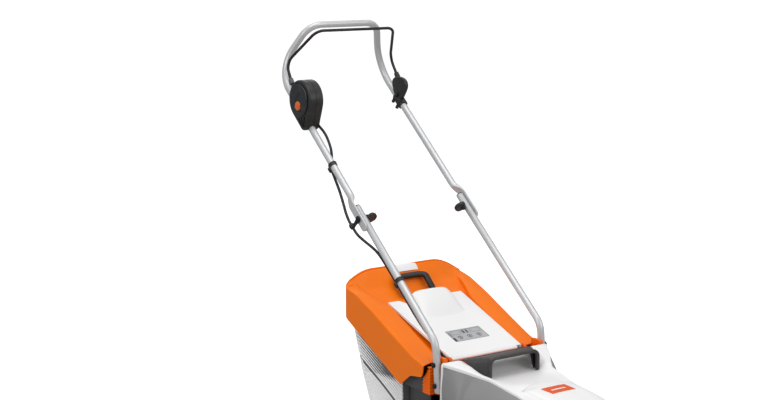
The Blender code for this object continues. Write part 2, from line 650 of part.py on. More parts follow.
def make_upper_handle():
    """A U of round tube with flattened ends that lie outside the lower tubes."""
    kink = on_run(RUN_TO_KINK, 0, -TUBE_X)
    half, top_y, top_z = GRIP_TOP
    start = on_run(ROUND_START, 0, -TUBE_X)
    corner = Vector((-half, top_y, top_z))
    route = rounded([start, kink, corner, (0, top_y, top_z)], (0.090, 0.055), radians(15))
    sections = []
    for i in range(9):
        s = -0.0385 + (ROUND_START + 0.0385) * i / 8
        t = ease((s - FLAT_END) / (ROUND_START - FLAT_END))
        if i == 8:
            break
        sections.append((on_run(s, 0, -(FLAT_X + (TUBE_X - FLAT_X) * t)),
                         FLAT[0] + (TUBE_R - FLAT[0]) * t, FLAT[1] + (TUBE_R - FLAT[1]) * t))
    sections += [(point, TUBE_R, TUBE_R) for point in route]
    rows = []
    across = Vector((1, 0, 0))
    for i, (point, thick, wide) in enumerate(sections):
        if i >= 8:
            before = sections[max(8, i - 1)][0]
            after = sections[min(len(sections) - 1, i + 1)][0]
            forward = (after - before).normalized()
            if i == len(sections) - 1:
                forward = Vector((1, 0, 0))
        else:
            forward = RUN
        across = (across - forward * across.dot(forward)).normalized()
        square = forward.cross(across)
        rows.append([point + across * thick * cos(a) + square * wide * sin(a)
                     for a in (2 * pi * k / 12 for k in range(12))])
    handle = grid("upper_handle", rows, SILVER, mirror=True, closed=True, cap=True)
    cut(handle, rod("upper_pivot_hole", (-0.2, *PIVOT), (-0.17, *PIVOT), BOLT_R + GAP),
        rod("upper_pivot_hole_left", (0.17, *PIVOT), (0.2, *PIVOT), BOLT_R + GAP))
    return handle


EGG_TOP = (0.467, 0.877)
EGG_TIP = (0.4500, 0.8130)
BOX_OUT = -0.190
BOX_SPLIT = -TUBE_X
BOX_IN = -0.145
BUTTON = (0.471, 0.861)


def make_switch_box():
    """Egg-shaped clamshell around the right tube, with a lug for the bail and a start button."""
    outline = capsule(EGG_TOP, 0.054, EGG_TIP, 0.0165, 9)
    hollow = capsule(EGG_TOP, 0.051, EGG_TIP, 0.0135, 9)
    tube_space = ("tube_space_", on_run(0.20, 0, -TUBE_X), on_run(0.50, 0, -TUBE_X), TUBE_R + GAP)
    shell = plate("switch_housing", outline, "X", BOX_OUT, BOX_SPLIT - 0.0002, BLACK)
    cut(shell, plate("housing_space", hollow, "X", BOX_OUT + 0.003, BOX_SPLIT + 0.01),
        rod(tube_space[0] + "a", *tube_space[1:]),
        rod("button_hole", (BOX_OUT - 0.01, *BUTTON), (BOX_OUT + 0.01, *BUTTON), 0.0151, None, 20))
    cover = plate("switch_cover", outline, "X", BOX_SPLIT + 0.0002, BOX_IN, BLACK)
    join(cover, plate("bail_lug", capsule(BAIL_AXIS, 0.0085, (0.500, 0.889), 0.0100, 6), "X",
                      BOX_SPLIT + 0.0002, -0.1575))
    outlet = on_run(0.36, 0.0030, -0.1516), on_run(0.32, 0.0103, -0.1494)
    cut(cover, plate("cover_space", hollow, "X", BOX_SPLIT - 0.01, BOX_IN - 0.003),
        rod(tube_space[0] + "b", *tube_space[1:]),
        rod("bail_bore", (-0.18, *BAIL_AXIS), (-0.15, *BAIL_AXIS), BAIL_R + GAP),
        rod("cable_outlet", *outlet, CABLE_R + 0.0010))
    button = turned("start_button", [(0, 0.0060), (0.0110, 0.0055), (0.0145, 0.0030), (0.0145, -0.0045),
                                     (0, -0.0045)], (BOX_OUT, *BUTTON), (-1, 0, 0), ORANGE, 20)
    unit = block("switch_unit", (-0.1805, BUTTON[0] - 0.012, BUTTON[1] + 0.000),
                 (-0.1560, BUTTON[0] + 0.012, BUTTON[1] + 0.026), DARK)
    pivot("start_button_slide", (BOX_OUT, *BUTTON), [button])
    return [shell, cover, unit]


def make_bail_bearing():
    """A clamp on the left tube with a rounded ear that carries the bail's other end."""
    foot, top = on_run(0.385, 0, TUBE_X), on_run(0.425, 0, TUBE_X)
    bearing = rod("bail_bearing", foot, top, 0.0140, BLACK, 20)
    ear = plate("bearing_ear", [(0.494, 0.846), (0.463, 0.886), (0.461, 0.900), (0.470, 0.914),
                                (0.492, 0.921), (0.516, 0.918), (0.528, 0.910), (0.528, 0.898),
                                (0.518, 0.866)], "X", 0.1578, 0.1680)
    join(bearing, ear)
    cut(bearing, rod("bearing_bore", on_run(0.35, 0, TUBE_X), on_run(0.46, 0, TUBE_X), TUBE_R + GAP),
        rod("bail_bore_left", (0.15, *BAIL_AXIS), (0.18, *BAIL_AXIS), BAIL_R + GAP))
    return bearing


def make_bail():
    """The wire lever in front of the grip, with both ends bent in to pivot in their bearings."""
    half = [(-0.1590, *BAIL_AXIS), (-0.1765, *BAIL_AXIS), (-0.1735, 0.5590, 0.9700),
            (-0.1260, 0.4760, 1.0600)]
    corners = half + [(-x, y, z) for x, y, z in half[::-1]]
    route = rounded(corners, (0.006, 0.035, 0.032, 0.032, 0.035, 0.006), radians(18))
    bail = tube_curve("bail_lever", route, BAIL_R, BLACK, 2)
    pivot("bail_axis", (0, *BAIL_AXIS), [bail])


# ---- cable ---------------------------------------------------------------------------------------
EYE = (0.002, -0.0290, -0.1905)     # along the run, square to it, x
UPPER_CABLE = ((0.352, 0.0045, -0.1512), (0.338, 0.0065, -0.1504), (0.318, 0.0110, -0.1492),
               (0.298, 0.0145, -0.1488), (0.278, 0.0145, -0.1490), (0.258, 0.0115, -0.1500),
               (0.242, 0.0080, -0.1515), (0.227, 0.0010, -0.1532), (0.214, -0.0085, -0.1560),
               (0.202, -0.0143, -0.1640), (0.189, -0.0152, -0.1675), (0.172, -0.0156, -0.1692),
               (0.145, -0.0170, -0.1725), (0.112, -0.0205, -0.1760), (0.078, -0.0250, -0.1812),
               (0.045, -0.0285, -0.1872), (0.022, -0.0293, -0.1902), (0.0086, -0.0290, -0.1905))
LOWER_CABLE = ((0.0076, -0.0290, -0.1905), (-0.012, -0.0290, -0.1903), (-0.030, -0.0283, -0.1886),
               (-0.050, -0.0255, -0.1835), (-0.068, -0.0220, -0.1785), (-0.086, -0.0185, -0.1740),
               (-0.104, -0.0160, -0.1710), (-0.130, -0.0150, -0.1693), (-0.165, -0.0148, -0.1685),
               (-0.210, -0.0148, -0.1680), (-0.260, -0.0148, -0.1680), (-0.310, -0.0148, -0.1675),
               (-0.350, -0.0150, -0.1650), (-0.378, -0.0175, -0.1590))
CABLE_TAIL = ((-0.1500, -0.1070, 0.3080), (-0.1410, -0.1200, 0.2900), (-0.1370, -0.1250, 0.2760),
              (-0.1370, -0.1250, 0.2580))


def make_cable():
    """The control cable in two lengths that meet at the guide beside the fold's pivot."""
    upper = smooth([on_run(s, n, x) for s, n, x in UPPER_CABLE], 2)
    lower = smooth([on_run(s, n, x) for s, n, x in LOWER_CABLE] + [Vector(p) for p in CABLE_TAIL], 2)
    cable = tube_curve("cable_upper", upper, CABLE_R, BLACK, 2)
    tube_curve("cable_lower", lower, CABLE_R, BLACK, 2)
    clips = []
    for name, s, n, x in (("cable_clip_upper", 0.189, -0.0150, -TUBE_X),
                          ("cable_clip_lower", -0.210, -0.0148, -0.1680)):
        centre, cable_at = (-TUBE_X, 0.0), (x, n)
        clips.append(plate(name, capsule(centre, TUBE_R + 0.0025, cable_at, CABLE_R + 0.0032, 7), "Z",
                           -0.005, 0.005, BLACK,
                           (circle(centre, TUBE_R + GAP, 16), circle(cable_at, CABLE_R + 0.0014, 10)),
                           run_frame(on_run(s))))
    s, n, x = EYE
    guide = plate("cable_guide", capsule((x, n), CABLE_R + 0.0032, (x + 0.0020, -0.018), 0.0036, 7),
                  "Z", -0.006, 0.006, BLACK, (circle((x, n), CABLE_R + 0.0005, 12),),
                  run_frame(on_run(s)))
    strap = plate("guide_strap", capsule((0, 0), 0.0085, (0, -0.0180), 0.0050, 6), "Z",
                  -0.0010, 0.0010, None, frame=strap_frame(-0.1846))
    join(guide, strap)
    cut(guide, rod("guide_hole", (-0.20, *PIVOT), (-0.17, *PIVOT), BOLT_R + GAP))
    return [cable, clips[0]]


def strap_frame(x):
    """Local X along the run, local Y square to it, local Z along the world's X."""
    rotation = Matrix((RUN, OUT, Vector((1, 0, 0)))).transposed().to_4x4()
    return Matrix.Translation((x, *PIVOT)) @ rotation


# ---- discharge flap ------------------------------------------------------------------------------
def flap_z(y):
    """Height of the flap's upper face."""
    return 0.2805 + (y - FLAP_AXIS[0]) * FLAP_SLOPE


def make_flap():
    """The flap over the grass channel, with a raised grip near its rear edge."""
    rows = []
    for i in range(11):
        t = i / 10
        row = []
        for j in range(15):
            x = -0.118 + 0.236 * j / 14
            rear = 0.150 - 0.020 * ease((0.085 - abs(x)) / 0.030)
            y = FLAP_AXIS[0] + 0.002 + (rear - FLAP_AXIS[0] - 0.002) * t
            x *= 0.949 + 0.051 * t
            rise = ease((y - 0.058) / 0.066) * ease((0.076 - abs(x)) / 0.022)
            row.append((x, y, flap_z(y) + 0.026 * rise))
        rows.append(row)
    flap = grid("discharge_flap", rows, WHITE, FLAP_T)
    join(flap, rod("flap_knuckle", (-0.1120, *FLAP_AXIS), (0.0960, *FLAP_AXIS), 0.0042))
    cut(flap, rod("flap_bore", (-0.13, *FLAP_AXIS), (0.13, *FLAP_AXIS), 0.0028),
        block("spring_room", (0.0965, -0.125, 0.265), (0.125, FLAP_AXIS[0] + 0.0060, 0.29)))
    pivot("flap_axis", (0, *FLAP_AXIS), [flap])
    rod("flap_hinge_rod", (-0.1260, *FLAP_AXIS), (0.1260, *FLAP_AXIS), 0.0025, STEEL, 12)
    coils, per_turn = 3, 8
    route = []
    for i in range(coils * per_turn + 1):
        angle = 2 * pi * i / per_turn
        route.append((0.1005 + 0.0032 * i / per_turn, FLAP_AXIS[0] + 0.0041 * cos(angle),
                      FLAP_AXIS[1] + 0.0041 * sin(angle)))
    tube_curve("flap_spring", route, 0.0008, STEEL, 1)


# ---- grass box -----------------------------------------------------------------------------------
LID_EDGE = ((-0.100, 0.262), (-0.096, 0.240), (-0.046, 0.233), (-0.004, 0.200), (0.262, 0.331))
LID_CREASE = ((-0.100, 0.270), (-0.054, 0.283), (0.025, 0.318), (0.129, 0.366), (0.201, 0.394),
              (0.262, 0.406))
LID_CORNER = 0.030
LID_ROWS = (-0.100, -0.096, -0.070, -0.046, -0.025, -0.004, 0.040, 0.085, 0.129, 0.160, 0.180, 0.196,
            0.212, 0.222, LID_REAR - LID_CORNER)
LID_CREST = 0.036                # how far the rear of the lid rises above its side crease


def lid_floor(y):
    """Height of the lid's middle: under the flap in front, up to the rear edge behind."""
    under_flap = min(lerp_table(LID_CREASE, y) - 0.004, flap_z(y) - FLAP_T - 0.0025)
    top = lerp_table(LID_CREASE, y) - 0.002
    return under_flap + (top - under_flap) * ease((y - 0.175) / 0.05)


def lid_crest(x, y):
    """Extra height of the lid's arched rear ridge."""
    across = sin(pi / 2 * min(1.0, (LID_HALF - abs(x)) / 0.090))
    return LID_CREST * across * ease((y - 0.212) / 0.040)


def build_lid():
    rows = []
    for y in LID_ROWS:
        rows.append(lid_section(y, LID_HALF))
    start = LID_REAR - LID_CORNER
    for i in range(1, 6):
        a = pi / 2 * i / 5 * 0.93
        y = start + LID_CORNER * sin(a)
        rows.append(lid_section(y, LID_HALF - LID_CORNER * (1 - cos(a))))
    lid = grid("box_lid", rows, ORANGE, LID_T, mirror=True)
    return lid


def lid_section(y, half):
    """Half a cross section of the lid, from its outer lower edge to the centre line."""
    crease, low = lerp_table(LID_CREASE, y), lerp_table(LID_EDGE, y)
    floor = lid_floor(y)
    near_rear = ease((y - 0.150) / 0.060)
    shoulder = crease + 0.006 * (1 - near_rear)
    level = [(half, low), (half, (low + crease) / 2), (half, crease), (half - 0.020, shoulder),
             (min(half - 0.03, 0.128), shoulder), (min(half - 0.034, 0.122), floor), (0.060, floor),
             (0.0, floor)]
    crest = [0.0, 0.0] + [lid_crest(x, y) for x, _ in level[2:]]
    return [(-x, y, z + rise) for (x, z), rise in zip(level, crest)]


def make_grass_box():
    """Tub, dark front frame, lid with its rear wall, carrying handle and level flap."""
    lid = build_lid()
    crest = [(x, 0.402 + lid_crest(x, LID_REAR)) for x in (0.158, 0.143, 0.128, 0.122, 0.060, 0.0)]
    outline = [(-0.158, 0.331), (0.158, 0.331), *crest, *[(-x, z) for x, z in crest[-2::-1]]]
    wall = plate("lid_rear_wall", outline, "Y", LID_REAR - 0.0045, LID_REAR)
    join(lid, wall)
    levels = ((0.070, 0.160, 0.020, 0.150), (0.078, 0.166, 0.013, 0.168), (0.190, 0.170, 0.012, 0.2135),
              (1.0, BOX_HALF, 0.012, 0.2555))
    rows = []
    for level, half, front, rear in levels:
        ring = []
        for x, y in ring_outline(half, front, rear, 0.030):
            z = level if level < 1 else box_rim(y)
            ring.append((x, y, z))
        rows.append(ring)
    body = grid("box_body", rows, WHITE, LID_T, closed=True, cap=True)
    cut(body, block("box_mouth", (-0.128, -0.01, 0.100), (0.128, 0.030, 0.30)))
    hole = [(-0.146, 0.092), (0.146, 0.092), (0.146, 0.191), (0.161, 0.195), (0.161, 0.225),
            (-0.161, 0.225), (-0.161, 0.195), (-0.146, 0.191)]
    outline = [(-0.150, 0.088), (0.150, 0.088), (0.150, 0.188), (0.165, 0.192), (0.165, 0.229),
               (-0.165, 0.229), (-0.165, 0.192), (-0.150, 0.188)]
    front = plate("box_front_frame", outline, "Y", -0.078, 0.0085, DARK, (hole,))
    grip_y, grip_z = 0.224, 0.4185
    foot_y = 0.186
    foot_z = lid_floor(foot_y) + 0.0065
    handle = tube_curve("box_handle", rounded(
        [(-0.046, foot_y, foot_z), (-0.046, foot_y + 0.002, foot_z + 0.006), (-0.046, grip_y, grip_z),
         (0.046, grip_y, grip_z), (0.046, foot_y + 0.002, foot_z + 0.006), (0.046, foot_y, foot_z)],
        (0.003, 0.012, 0.012, 0.003), radians(22)), 0.0060, BLACK, 3)
    flap_rows = []
    for i in range(6):
        y = 0.2360 + 0.0200 * i / 5
        z = lid_floor(y) + lid_crest(0, y) + 0.0030
        flap_rows.append([(x, y, z) for x in (-0.040, 0.0, 0.040)])
    hinge = flap_rows[0][0][1:]
    level_flap = grid("level_flap", flap_rows, WHITE, 0.0016)
    pivot("level_flap_axis", (0, *hinge), [level_flap])
    return [lid, body, front, handle]


def box_rim(y):
    """Height of the tub's rim, just under the lid's lower edge."""
    return 0.200 + (y + 0.004) * (0.331 - 0.200) / 0.266 - 0.0012


def ring_outline(half, front, rear, corner, count=4):
    """A rounded rectangle in plan, counter-clockwise from the front right corner."""
    outline = []
    for cx, cy, start in ((half - corner, front + 0.012, -pi / 2), (half - corner, rear - corner, 0),
                          (-half + corner, rear - corner, pi / 2), (-half + corner, front + 0.012, pi)):
        radius_y = 0.012 if cy == front + 0.012 else corner
        for i in range(count + 1):
            a = start + pi / 2 * i / count
            outline.append((cx + corner * cos(a), cy + radius_y * sin(a)))
    return outline


make_deck()
make_hood()
make_battery_lid()
make_side_panels()
make_carry_handle()
make_drive()
make_axle("rear", REAR_WHEEL, WHEEL_OUT, 0.1535, radians(151))
make_axle("front", FRONT_WHEEL, WHEEL_OUT - 0.008, 0.1475, radians(100))
make_lower_handle()
make_wing_knobs()
upper = [make_upper_handle(), *make_switch_box(), make_bail_bearing(), *make_cable()]
pivot("fold_axis", (0, *PIVOT), upper)
make_bail()
make_flap()
pivot("box_slide", (0, 0.1, 0.2), make_grass_box())
for obj in list(parts.objects) + list(tools.objects):
    if obj.type == "MESH" and len(obj.data.polygons):
        obj.data.shade_smooth()
        obj.data.set_sharp_from_angle(angle=radians(35))
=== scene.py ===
import math

import bmesh
import bpy
import numpy as np
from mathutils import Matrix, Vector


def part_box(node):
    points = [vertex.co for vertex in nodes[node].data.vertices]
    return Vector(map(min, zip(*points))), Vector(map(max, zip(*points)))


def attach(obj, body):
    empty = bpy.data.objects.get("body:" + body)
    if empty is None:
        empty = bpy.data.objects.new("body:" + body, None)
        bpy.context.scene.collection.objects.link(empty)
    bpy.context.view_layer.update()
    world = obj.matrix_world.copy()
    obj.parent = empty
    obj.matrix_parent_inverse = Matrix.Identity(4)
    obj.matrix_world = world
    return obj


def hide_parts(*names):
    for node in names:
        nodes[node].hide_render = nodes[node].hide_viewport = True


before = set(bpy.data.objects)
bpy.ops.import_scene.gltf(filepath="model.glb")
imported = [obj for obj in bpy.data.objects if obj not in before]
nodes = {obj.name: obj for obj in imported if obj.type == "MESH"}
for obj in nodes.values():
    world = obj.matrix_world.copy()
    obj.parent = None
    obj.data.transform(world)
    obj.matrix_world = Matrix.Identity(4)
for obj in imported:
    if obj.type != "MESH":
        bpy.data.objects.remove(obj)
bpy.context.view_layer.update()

collection = bpy.context.scene.collection
print("frame loaded:", len(nodes), "parts")


# numbers that several pieces share
run = {
    "pivot": (0.191, 0.592),      # y, z of the fold
    "slope": math.radians(40),    # rise of the straight tubes
    "tubeX": 0.1675,
    "tubeR": 0.0095,
    "kink": 0.551,                # from the fold to the corner below the grip
}
detail = {"tubeSides": 28, "fineStep": math.radians(5)}


def vec(*numbers):
    return np.array(numbers, float)


def onRun(s, n=0.0, x=0.0):
    # pivot + s along the tubes + n square to them, at sideways place x
    c, t = math.cos(run["slope"]), math.sin(run["slope"])
    s, n, x = np.broadcast_arrays(np.asarray(s, float), n, x)
    return np.stack([x, run["pivot"][0] + s * c - n * t, run["pivot"][1] + s * t + n * c], -1)


def easeIn(t):
    # 3t^2 - 2t^3, held at 0 and 1 outside
    t = np.clip(t, 0, 1)
    return t * t * (3 - 2 * t)


def table(pairs, at):
    # straight lines between the (place, value) pairs
    pairs = np.array(pairs, float)
    return np.interp(at, pairs[:, 0], pairs[:, 1])


def softTable(pairs, at, blur=0.01):
    # the straight table averaged over a short stretch on both sides, which rounds its corners
    shifts = np.linspace(-1, 1, 9) * blur
    return np.mean([table(pairs, np.asarray(at) + d) for d in shifts], axis=0)


def resample(path, count):
    # points at equal steps of length along a path
    path = np.asarray(path, float)
    steps = np.linalg.norm(np.diff(path, axis=0), axis=1)
    along = np.concatenate([[0], np.cumsum(steps)])
    at = np.linspace(0, along[-1], count)
    return np.stack([np.interp(at, along, path[:, k]) for k in range(path.shape[1])], -1)


def roundedPath(corners, radii, step=detail["fineStep"]):
    # straight runs between corners, each inner corner replaced by an arc tangent to both runs
    corners = [vec(*c) for c in corners]
    out = [corners[0][None]]
    for a, b, c, r in zip(corners, corners[1:], corners[2:], radii):
        u, v = (a - b) / np.linalg.norm(a - b), (c - b) / np.linalg.norm(c - b)
        half = math.acos(float(np.clip(u @ v, -1, 1))) / 2
        middle = b + (u + v) / np.linalg.norm(u + v) * r / math.sin(half)
        start, end = b + u * r / math.tan(half) - middle, b + v * r / math.tan(half) - middle
        sweep = math.pi - 2 * half
        t = np.linspace(0, 1, max(3, int(sweep / step)))[:, None]
        out.append(middle + (np.sin((1 - t) * sweep) * start + np.sin(t * sweep) * end) / math.sin(sweep))
    out.append(corners[-1][None])
    return np.concatenate(out)


def smoothCurve(points, count):
    # Catmull-Rom through the points: each stretch is a cubic of its four nearest points
    p = np.asarray(points, float)
    p = np.concatenate([[2 * p[0] - p[1]], p, [2 * p[-1] - p[-2]]])
    t = np.linspace(0, 1, count, endpoint=False)[None, :, None]
    a, b, c, d = (p[k:len(p) - 3 + k][:, None] for k in range(4))
    q = 0.5 * (2 * b + (c - a) * t + (2 * a - 5 * b + 4 * c - d) * t ** 2 + (3 * b - a - 3 * c + d) * t ** 3)
    return np.concatenate([q.reshape(-1, p.shape[1]), p[-2][None]])


def ring(count, phase=0.0):
    # angles once round, without the last
    return phase + np.arange(count) * 2 * np.pi / count


def quarter(count):
    return np.linspace(0, np.pi / 2, count)


def capsuleLine(a, ra, b, rb, count=24):
    # two circles and their common tangents: an arc of each, counter-clockwise
    a, b = vec(*a), vec(*b)
    along = math.atan2(*(b - a)[::-1])
    spread = math.acos(np.clip((ra - rb) / np.linalg.norm(b - a), -1, 1))
    big = np.linspace(along + spread, along + 2 * np.pi - spread, 2 * count)
    small = np.linspace(along - spread, along + spread, count)
    return np.concatenate([a + ra * np.stack([np.cos(big), np.sin(big)], -1),
        b + rb * np.stack([np.cos(small), np.sin(small)], -1)])


# meshes
def gridFaces(rows, cols, wrapRows=False, wrapCols=False):
    # one quad between each pair of neighbouring rows and columns
    i, j = np.meshgrid(np.arange(rows if wrapRows else rows - 1), np.arange(cols if wrapCols else cols - 1),
        indexing="ij")
    k, l = (i + 1) % rows, (j + 1) % cols
    return np.stack([i * cols + j, i * cols + l, k * cols + l, k * cols + j], -1).reshape(-1, 4)


def volumeOf(points, faces):
    # sum of the signed tetrahedra under a fan of each face; positive where faces look outwards
    total = 0.0
    for corners in {len(f) for f in faces}:
        f = np.array([g for g in faces if len(g) == corners])
        for k in range(1, corners - 1):
            total += np.einsum("ij,ij->", points[f[:, 0]], np.cross(points[f[:, k]], points[f[:, k + 1]]))
    return total


def capped(grid):
    # a tube of closed rows with a flat cap on its first and its last row
    rows, cols = grid.shape[:2]
    ends = [list(range(cols))[::-1], list(range((rows - 1) * cols, rows * cols))]
    return grid.reshape(-1, 3), gridFaces(rows, cols, wrapCols=True).tolist() + ends


def looped(grid):
    # rows and columns that both run round and meet themselves
    return grid.reshape(-1, 3), gridFaces(*grid.shape[:2], True, True).tolist()


def points3(*numbers):
    return np.stack(np.broadcast_arrays(*numbers), -1)


def outwards(outline):
    # unit normals of a closed flat outline: the chord between its neighbours, turned by a right angle
    ahead = np.roll(outline, -1, 0) - np.roll(outline, 1, 0)
    return np.stack([ahead[:, 1], -ahead[:, 0]], -1) / np.linalg.norm(ahead, axis=1)[:, None]


def makePiece(name, points, faces, finish, body, weld=False, sharp=40, away=None, slot=None, replaces=None):
    # the mesh, turned to face outwards (or away from a point), with its finish and body; slot is not used
    points = np.asarray(points, float)
    faces = [list(f) for f in faces]
    if away is None:
        turn = volumeOf(points - points.mean(0), faces) < 0
    else:
        quads = np.array([f[:4] for f in faces if len(f) >= 4])
        p = points[quads]
        normal = np.cross(p[:, 2] - p[:, 0], p[:, 3] - p[:, 1])
        turn = np.einsum("ij,ij->", normal, p.mean(1) - vec(*away)) < 0
    if turn:
        faces = [f[::-1] for f in faces]
    mesh = bpy.data.meshes.new(name)
    mesh.from_pydata(points.tolist(), [], faces)
    if weld:
        bm = bmesh.new()
        bm.from_mesh(mesh)
        bmesh.ops.remove_doubles(bm, verts=bm.verts, dist=1e-5)
        bmesh.ops.dissolve_degenerate(bm, edges=bm.edges, dist=1e-6)
        bm.to_mesh(mesh)
        bm.free()
    mesh.validate()
    mesh.materials.append(bpy.data.materials[finish])
    mesh.shade_smooth()
    mesh.set_sharp_from_angle(angle=math.radians(sharp))
    piece = bpy.data.objects.new(name, mesh)
    collection.objects.link(piece)
    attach(piece, body)
    if replaces:
        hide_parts(replaces)
    return piece


def sheet(name, grid, finish, body, wall, rim, away, **more):
    # an open grid with a thickness behind it and rounded rims
    faces = gridFaces(*grid.shape[:2]).tolist()
    return thicken(makePiece(name, grid.reshape(-1, 3), faces, finish, body, away=away, **more), wall, rim)


def thicken(piece, wall, rim):
    solid = piece.modifiers.new("wall", "SOLIDIFY")
    solid.thickness = wall
    solid.offset = -1
    solid.use_even_offset = False
    edge = piece.modifiers.new("edges", "BEVEL")
    edge.width = rim
    edge.segments = 2
    edge.limit_method = "ANGLE"
    edge.angle_limit = math.radians(50)
    edge.harden_normals = True
    edge.use_clamp_overlap = True
    return piece


def joined(name, parts, finish, body, **more):
    # several closed shells as one piece; parts are (points, faces)
    points, faces, start = [], [], 0
    for p, f in parts:
        p = np.asarray(p, float).reshape(-1, 3)
        f = [list(g) for g in f]
        if volumeOf(p - p.mean(0), f) < 0:
            f = [g[::-1] for g in f]
        points.append(p)
        faces += [[k + start for k in g] for g in f]
        start += len(p)
    return makePiece(name, np.concatenate(points), faces, finish, body, **more)


def frames(path, first=(1, 0, 0)):
    # tangents of a path, and two directions square to it, carried along without twist
    tangent = np.gradient(path, axis=0)
    tangent /= np.linalg.norm(tangent, axis=1)[:, None]
    side = np.empty_like(path)
    before = vec(*first) if abs(tangent[0] @ vec(*first)) < 0.99 else vec(0, 1, 0)
    for k, t in enumerate(tangent):
        before = before - t * (before @ t)
        before /= np.linalg.norm(before)
        side[k] = before
    return tangent, side, np.cross(tangent, side)


def sweep(path, section, first=(1, 0, 0), scale=None):
    # the section's (a, b) laid out at each point of the path, square to it
    _, side, up = frames(np.asarray(path, float), first)
    section = np.asarray(section, float)
    if section.ndim == 2:
        section = np.broadcast_to(section, (len(path), *section.shape))
    if scale is not None:
        section = section * np.asarray(scale, float)[:, None, None]
    return path[:, None] + side[:, None] * section[..., :1] + up[:, None] * section[..., 1:]


def roundSection(radius, sides=detail["tubeSides"]):
    a = ring(sides)
    return radius * np.stack([np.cos(a), np.sin(a)], -1)


def boxSection(wide, tall, corner, count=5):
    # a rectangle with round corners, as (a, b)
    arc = quarter(count)
    out = []
    for k, (sx, sy) in enumerate(((1, 1), (-1, 1), (-1, -1), (1, -1))):
        a = arc + k * np.pi / 2
        out.append(np.stack([sx * (wide / 2 - corner) + corner * np.cos(a),
            sy * (tall / 2 - corner) + corner * np.sin(a)], -1))
    return np.concatenate(out)


def barEnds(path, soft):
    # a short extra station at each end, and the share of the section that each station keeps
    path = np.asarray(path, float)
    a = path[0] + (path[1] - path[0]) / np.linalg.norm(path[1] - path[0]) * soft
    b = path[-1] + (path[-2] - path[-1]) / np.linalg.norm(path[-2] - path[-1]) * soft
    return np.concatenate([[path[0], a], path[1:-1], [b, path[-1]]])


def bar(name, path, section, finish, body, soft=0.0012, first=(1, 0, 0), **more):
    # a bar of one section along a path, its end faces a little smaller than the bar
    stations = barEnds(path, soft)
    scale = np.ones(len(stations))
    scale[[0, -1]] = 1 - soft / np.abs(section).max()
    return makePiece(name, *capped(sweep(stations, section, first, scale)), finish, body, sharp=60, **more)


def slabPart(outline, low, high, edge, axis="x", steps=3):
    # a flat outline with thickness; near each face it shrinks along a quarter circle of radius edge
    outline = np.asarray(outline, float)
    area = np.sum(outline[:, 0] * np.roll(outline[:, 1], -1) - np.roll(outline[:, 0], -1) * outline[:, 1])
    normal = outwards(outline) * np.sign(area)
    a = quarter(steps + 1)
    inset = edge * (1 - np.cos(a))[::-1]
    depth = edge * (1 - np.sin(a))[::-1]
    insets = np.concatenate([inset, inset[::-1]])
    heights = np.concatenate([low + depth, high - depth[::-1]])
    flat = outline[None] - normal[None] * insets[:, None, None]
    level = np.broadcast_to(heights[:, None], flat.shape[:2])
    order = {"x": (level, flat[..., 0], flat[..., 1]), "y": (flat[..., 0], level, flat[..., 1]),
        "z": (flat[..., 0], flat[..., 1], level)}[axis]
    return capped(np.stack(order, -1))


def slab(name, outline, low, high, edge, finish, body, **more):
    return makePiece(name, *slabPart(outline, low, high, edge), finish, body, **more)


def blockPart(low, high, edge=0.0008):
    # a box with rounded edges: a slab of its rounded plan
    low, high = vec(*low), vec(*high)
    size, middle = high - low, (high + low) / 2
    plan = boxSection(size[0], size[1], min(edge * 2, size[0] / 2.2, size[1] / 2.2), 4) + middle[:2]
    return slabPart(plan, low[2], high[2], min(edge, size[2] / 2.2), "z")


def turnedPart(profile, centre, axis, count=48):
    # a profile of (radius, height) turned once round an axis; its ends are flat caps
    axis = vec(*axis) / np.linalg.norm(axis)
    other = vec(0, 0, 1) if abs(axis[2]) < 0.9 else vec(1, 0, 0)
    u = np.cross(axis, other)
    u /= np.linalg.norm(u)
    v = np.cross(axis, u)
    a = ring(count)
    circle = np.cos(a)[:, None] * u + np.sin(a)[:, None] * v
    profile = np.asarray(profile, float)
    return capped(vec(*centre) + profile[:, None, :1] * circle[None] + profile[:, None, 1:] * axis)


def turned(name, profile, centre, axis, finish, body, count=48, sharp=35, **more):
    return makePiece(name, *turnedPart(profile, centre, axis, count), finish, body, sharp=sharp, **more)


def rolledSides(grid, wide, tall, fall):
    # a quarter ellipse and a straight drop added beyond the first and the last column
    a = quarter(5)[1:]
    edges = []
    for end, sign in ((0, -1), (-1, 1)):
        out = np.stack([sign * wide * np.sin(a), 0 * a, -tall * (1 - np.cos(a))], -1)
        rows = grid[:, end][:, None] + np.concatenate([out, [[sign * wide, 0, -fall]]])[None]
        edges.append(rows[:, ::-1] if end == 0 else rows)
    return np.concatenate([edges[0], grid, edges[1]], 1)


# finishes
def newGroup(name, inputs, outputs):
    # an empty node group with (name, kind, default) inputs and (name, kind) outputs
    group = bpy.data.node_groups.new(name, "ShaderNodeTree")
    for label, kind, value in inputs:
        socket = group.interface.new_socket(label, in_out="INPUT", socket_type="NodeSocket" + kind)
        socket.default_value = value
    for label, kind in outputs:
        group.interface.new_socket(label, in_out="OUTPUT", socket_type="NodeSocket" + kind)
    place = addNode(group, "TexCoord").outputs["Object"]
    return group, place, group.nodes.new("NodeGroupInput").outputs, group.nodes.new("NodeGroupOutput").inputs


def addNode(tree, kind, links=None, **values):
    # a node with its settings; links go from an output socket to the named or numbered input
    node = tree.nodes.new("ShaderNode" + kind)
    for key, value in values.items():
        setattr(node, key, value)
    for key, source in (links or {}).items():
        if isinstance(source, bpy.types.NodeSocket):
            tree.links.new(source, node.inputs[key])
        else:
            node.inputs[key].default_value = source
    return node


def noise(tree, place, scale, fine):
    return addNode(tree, "TexNoise", {"Vector": place, "Scale": scale, "Detail": fine}).outputs["Fac"]


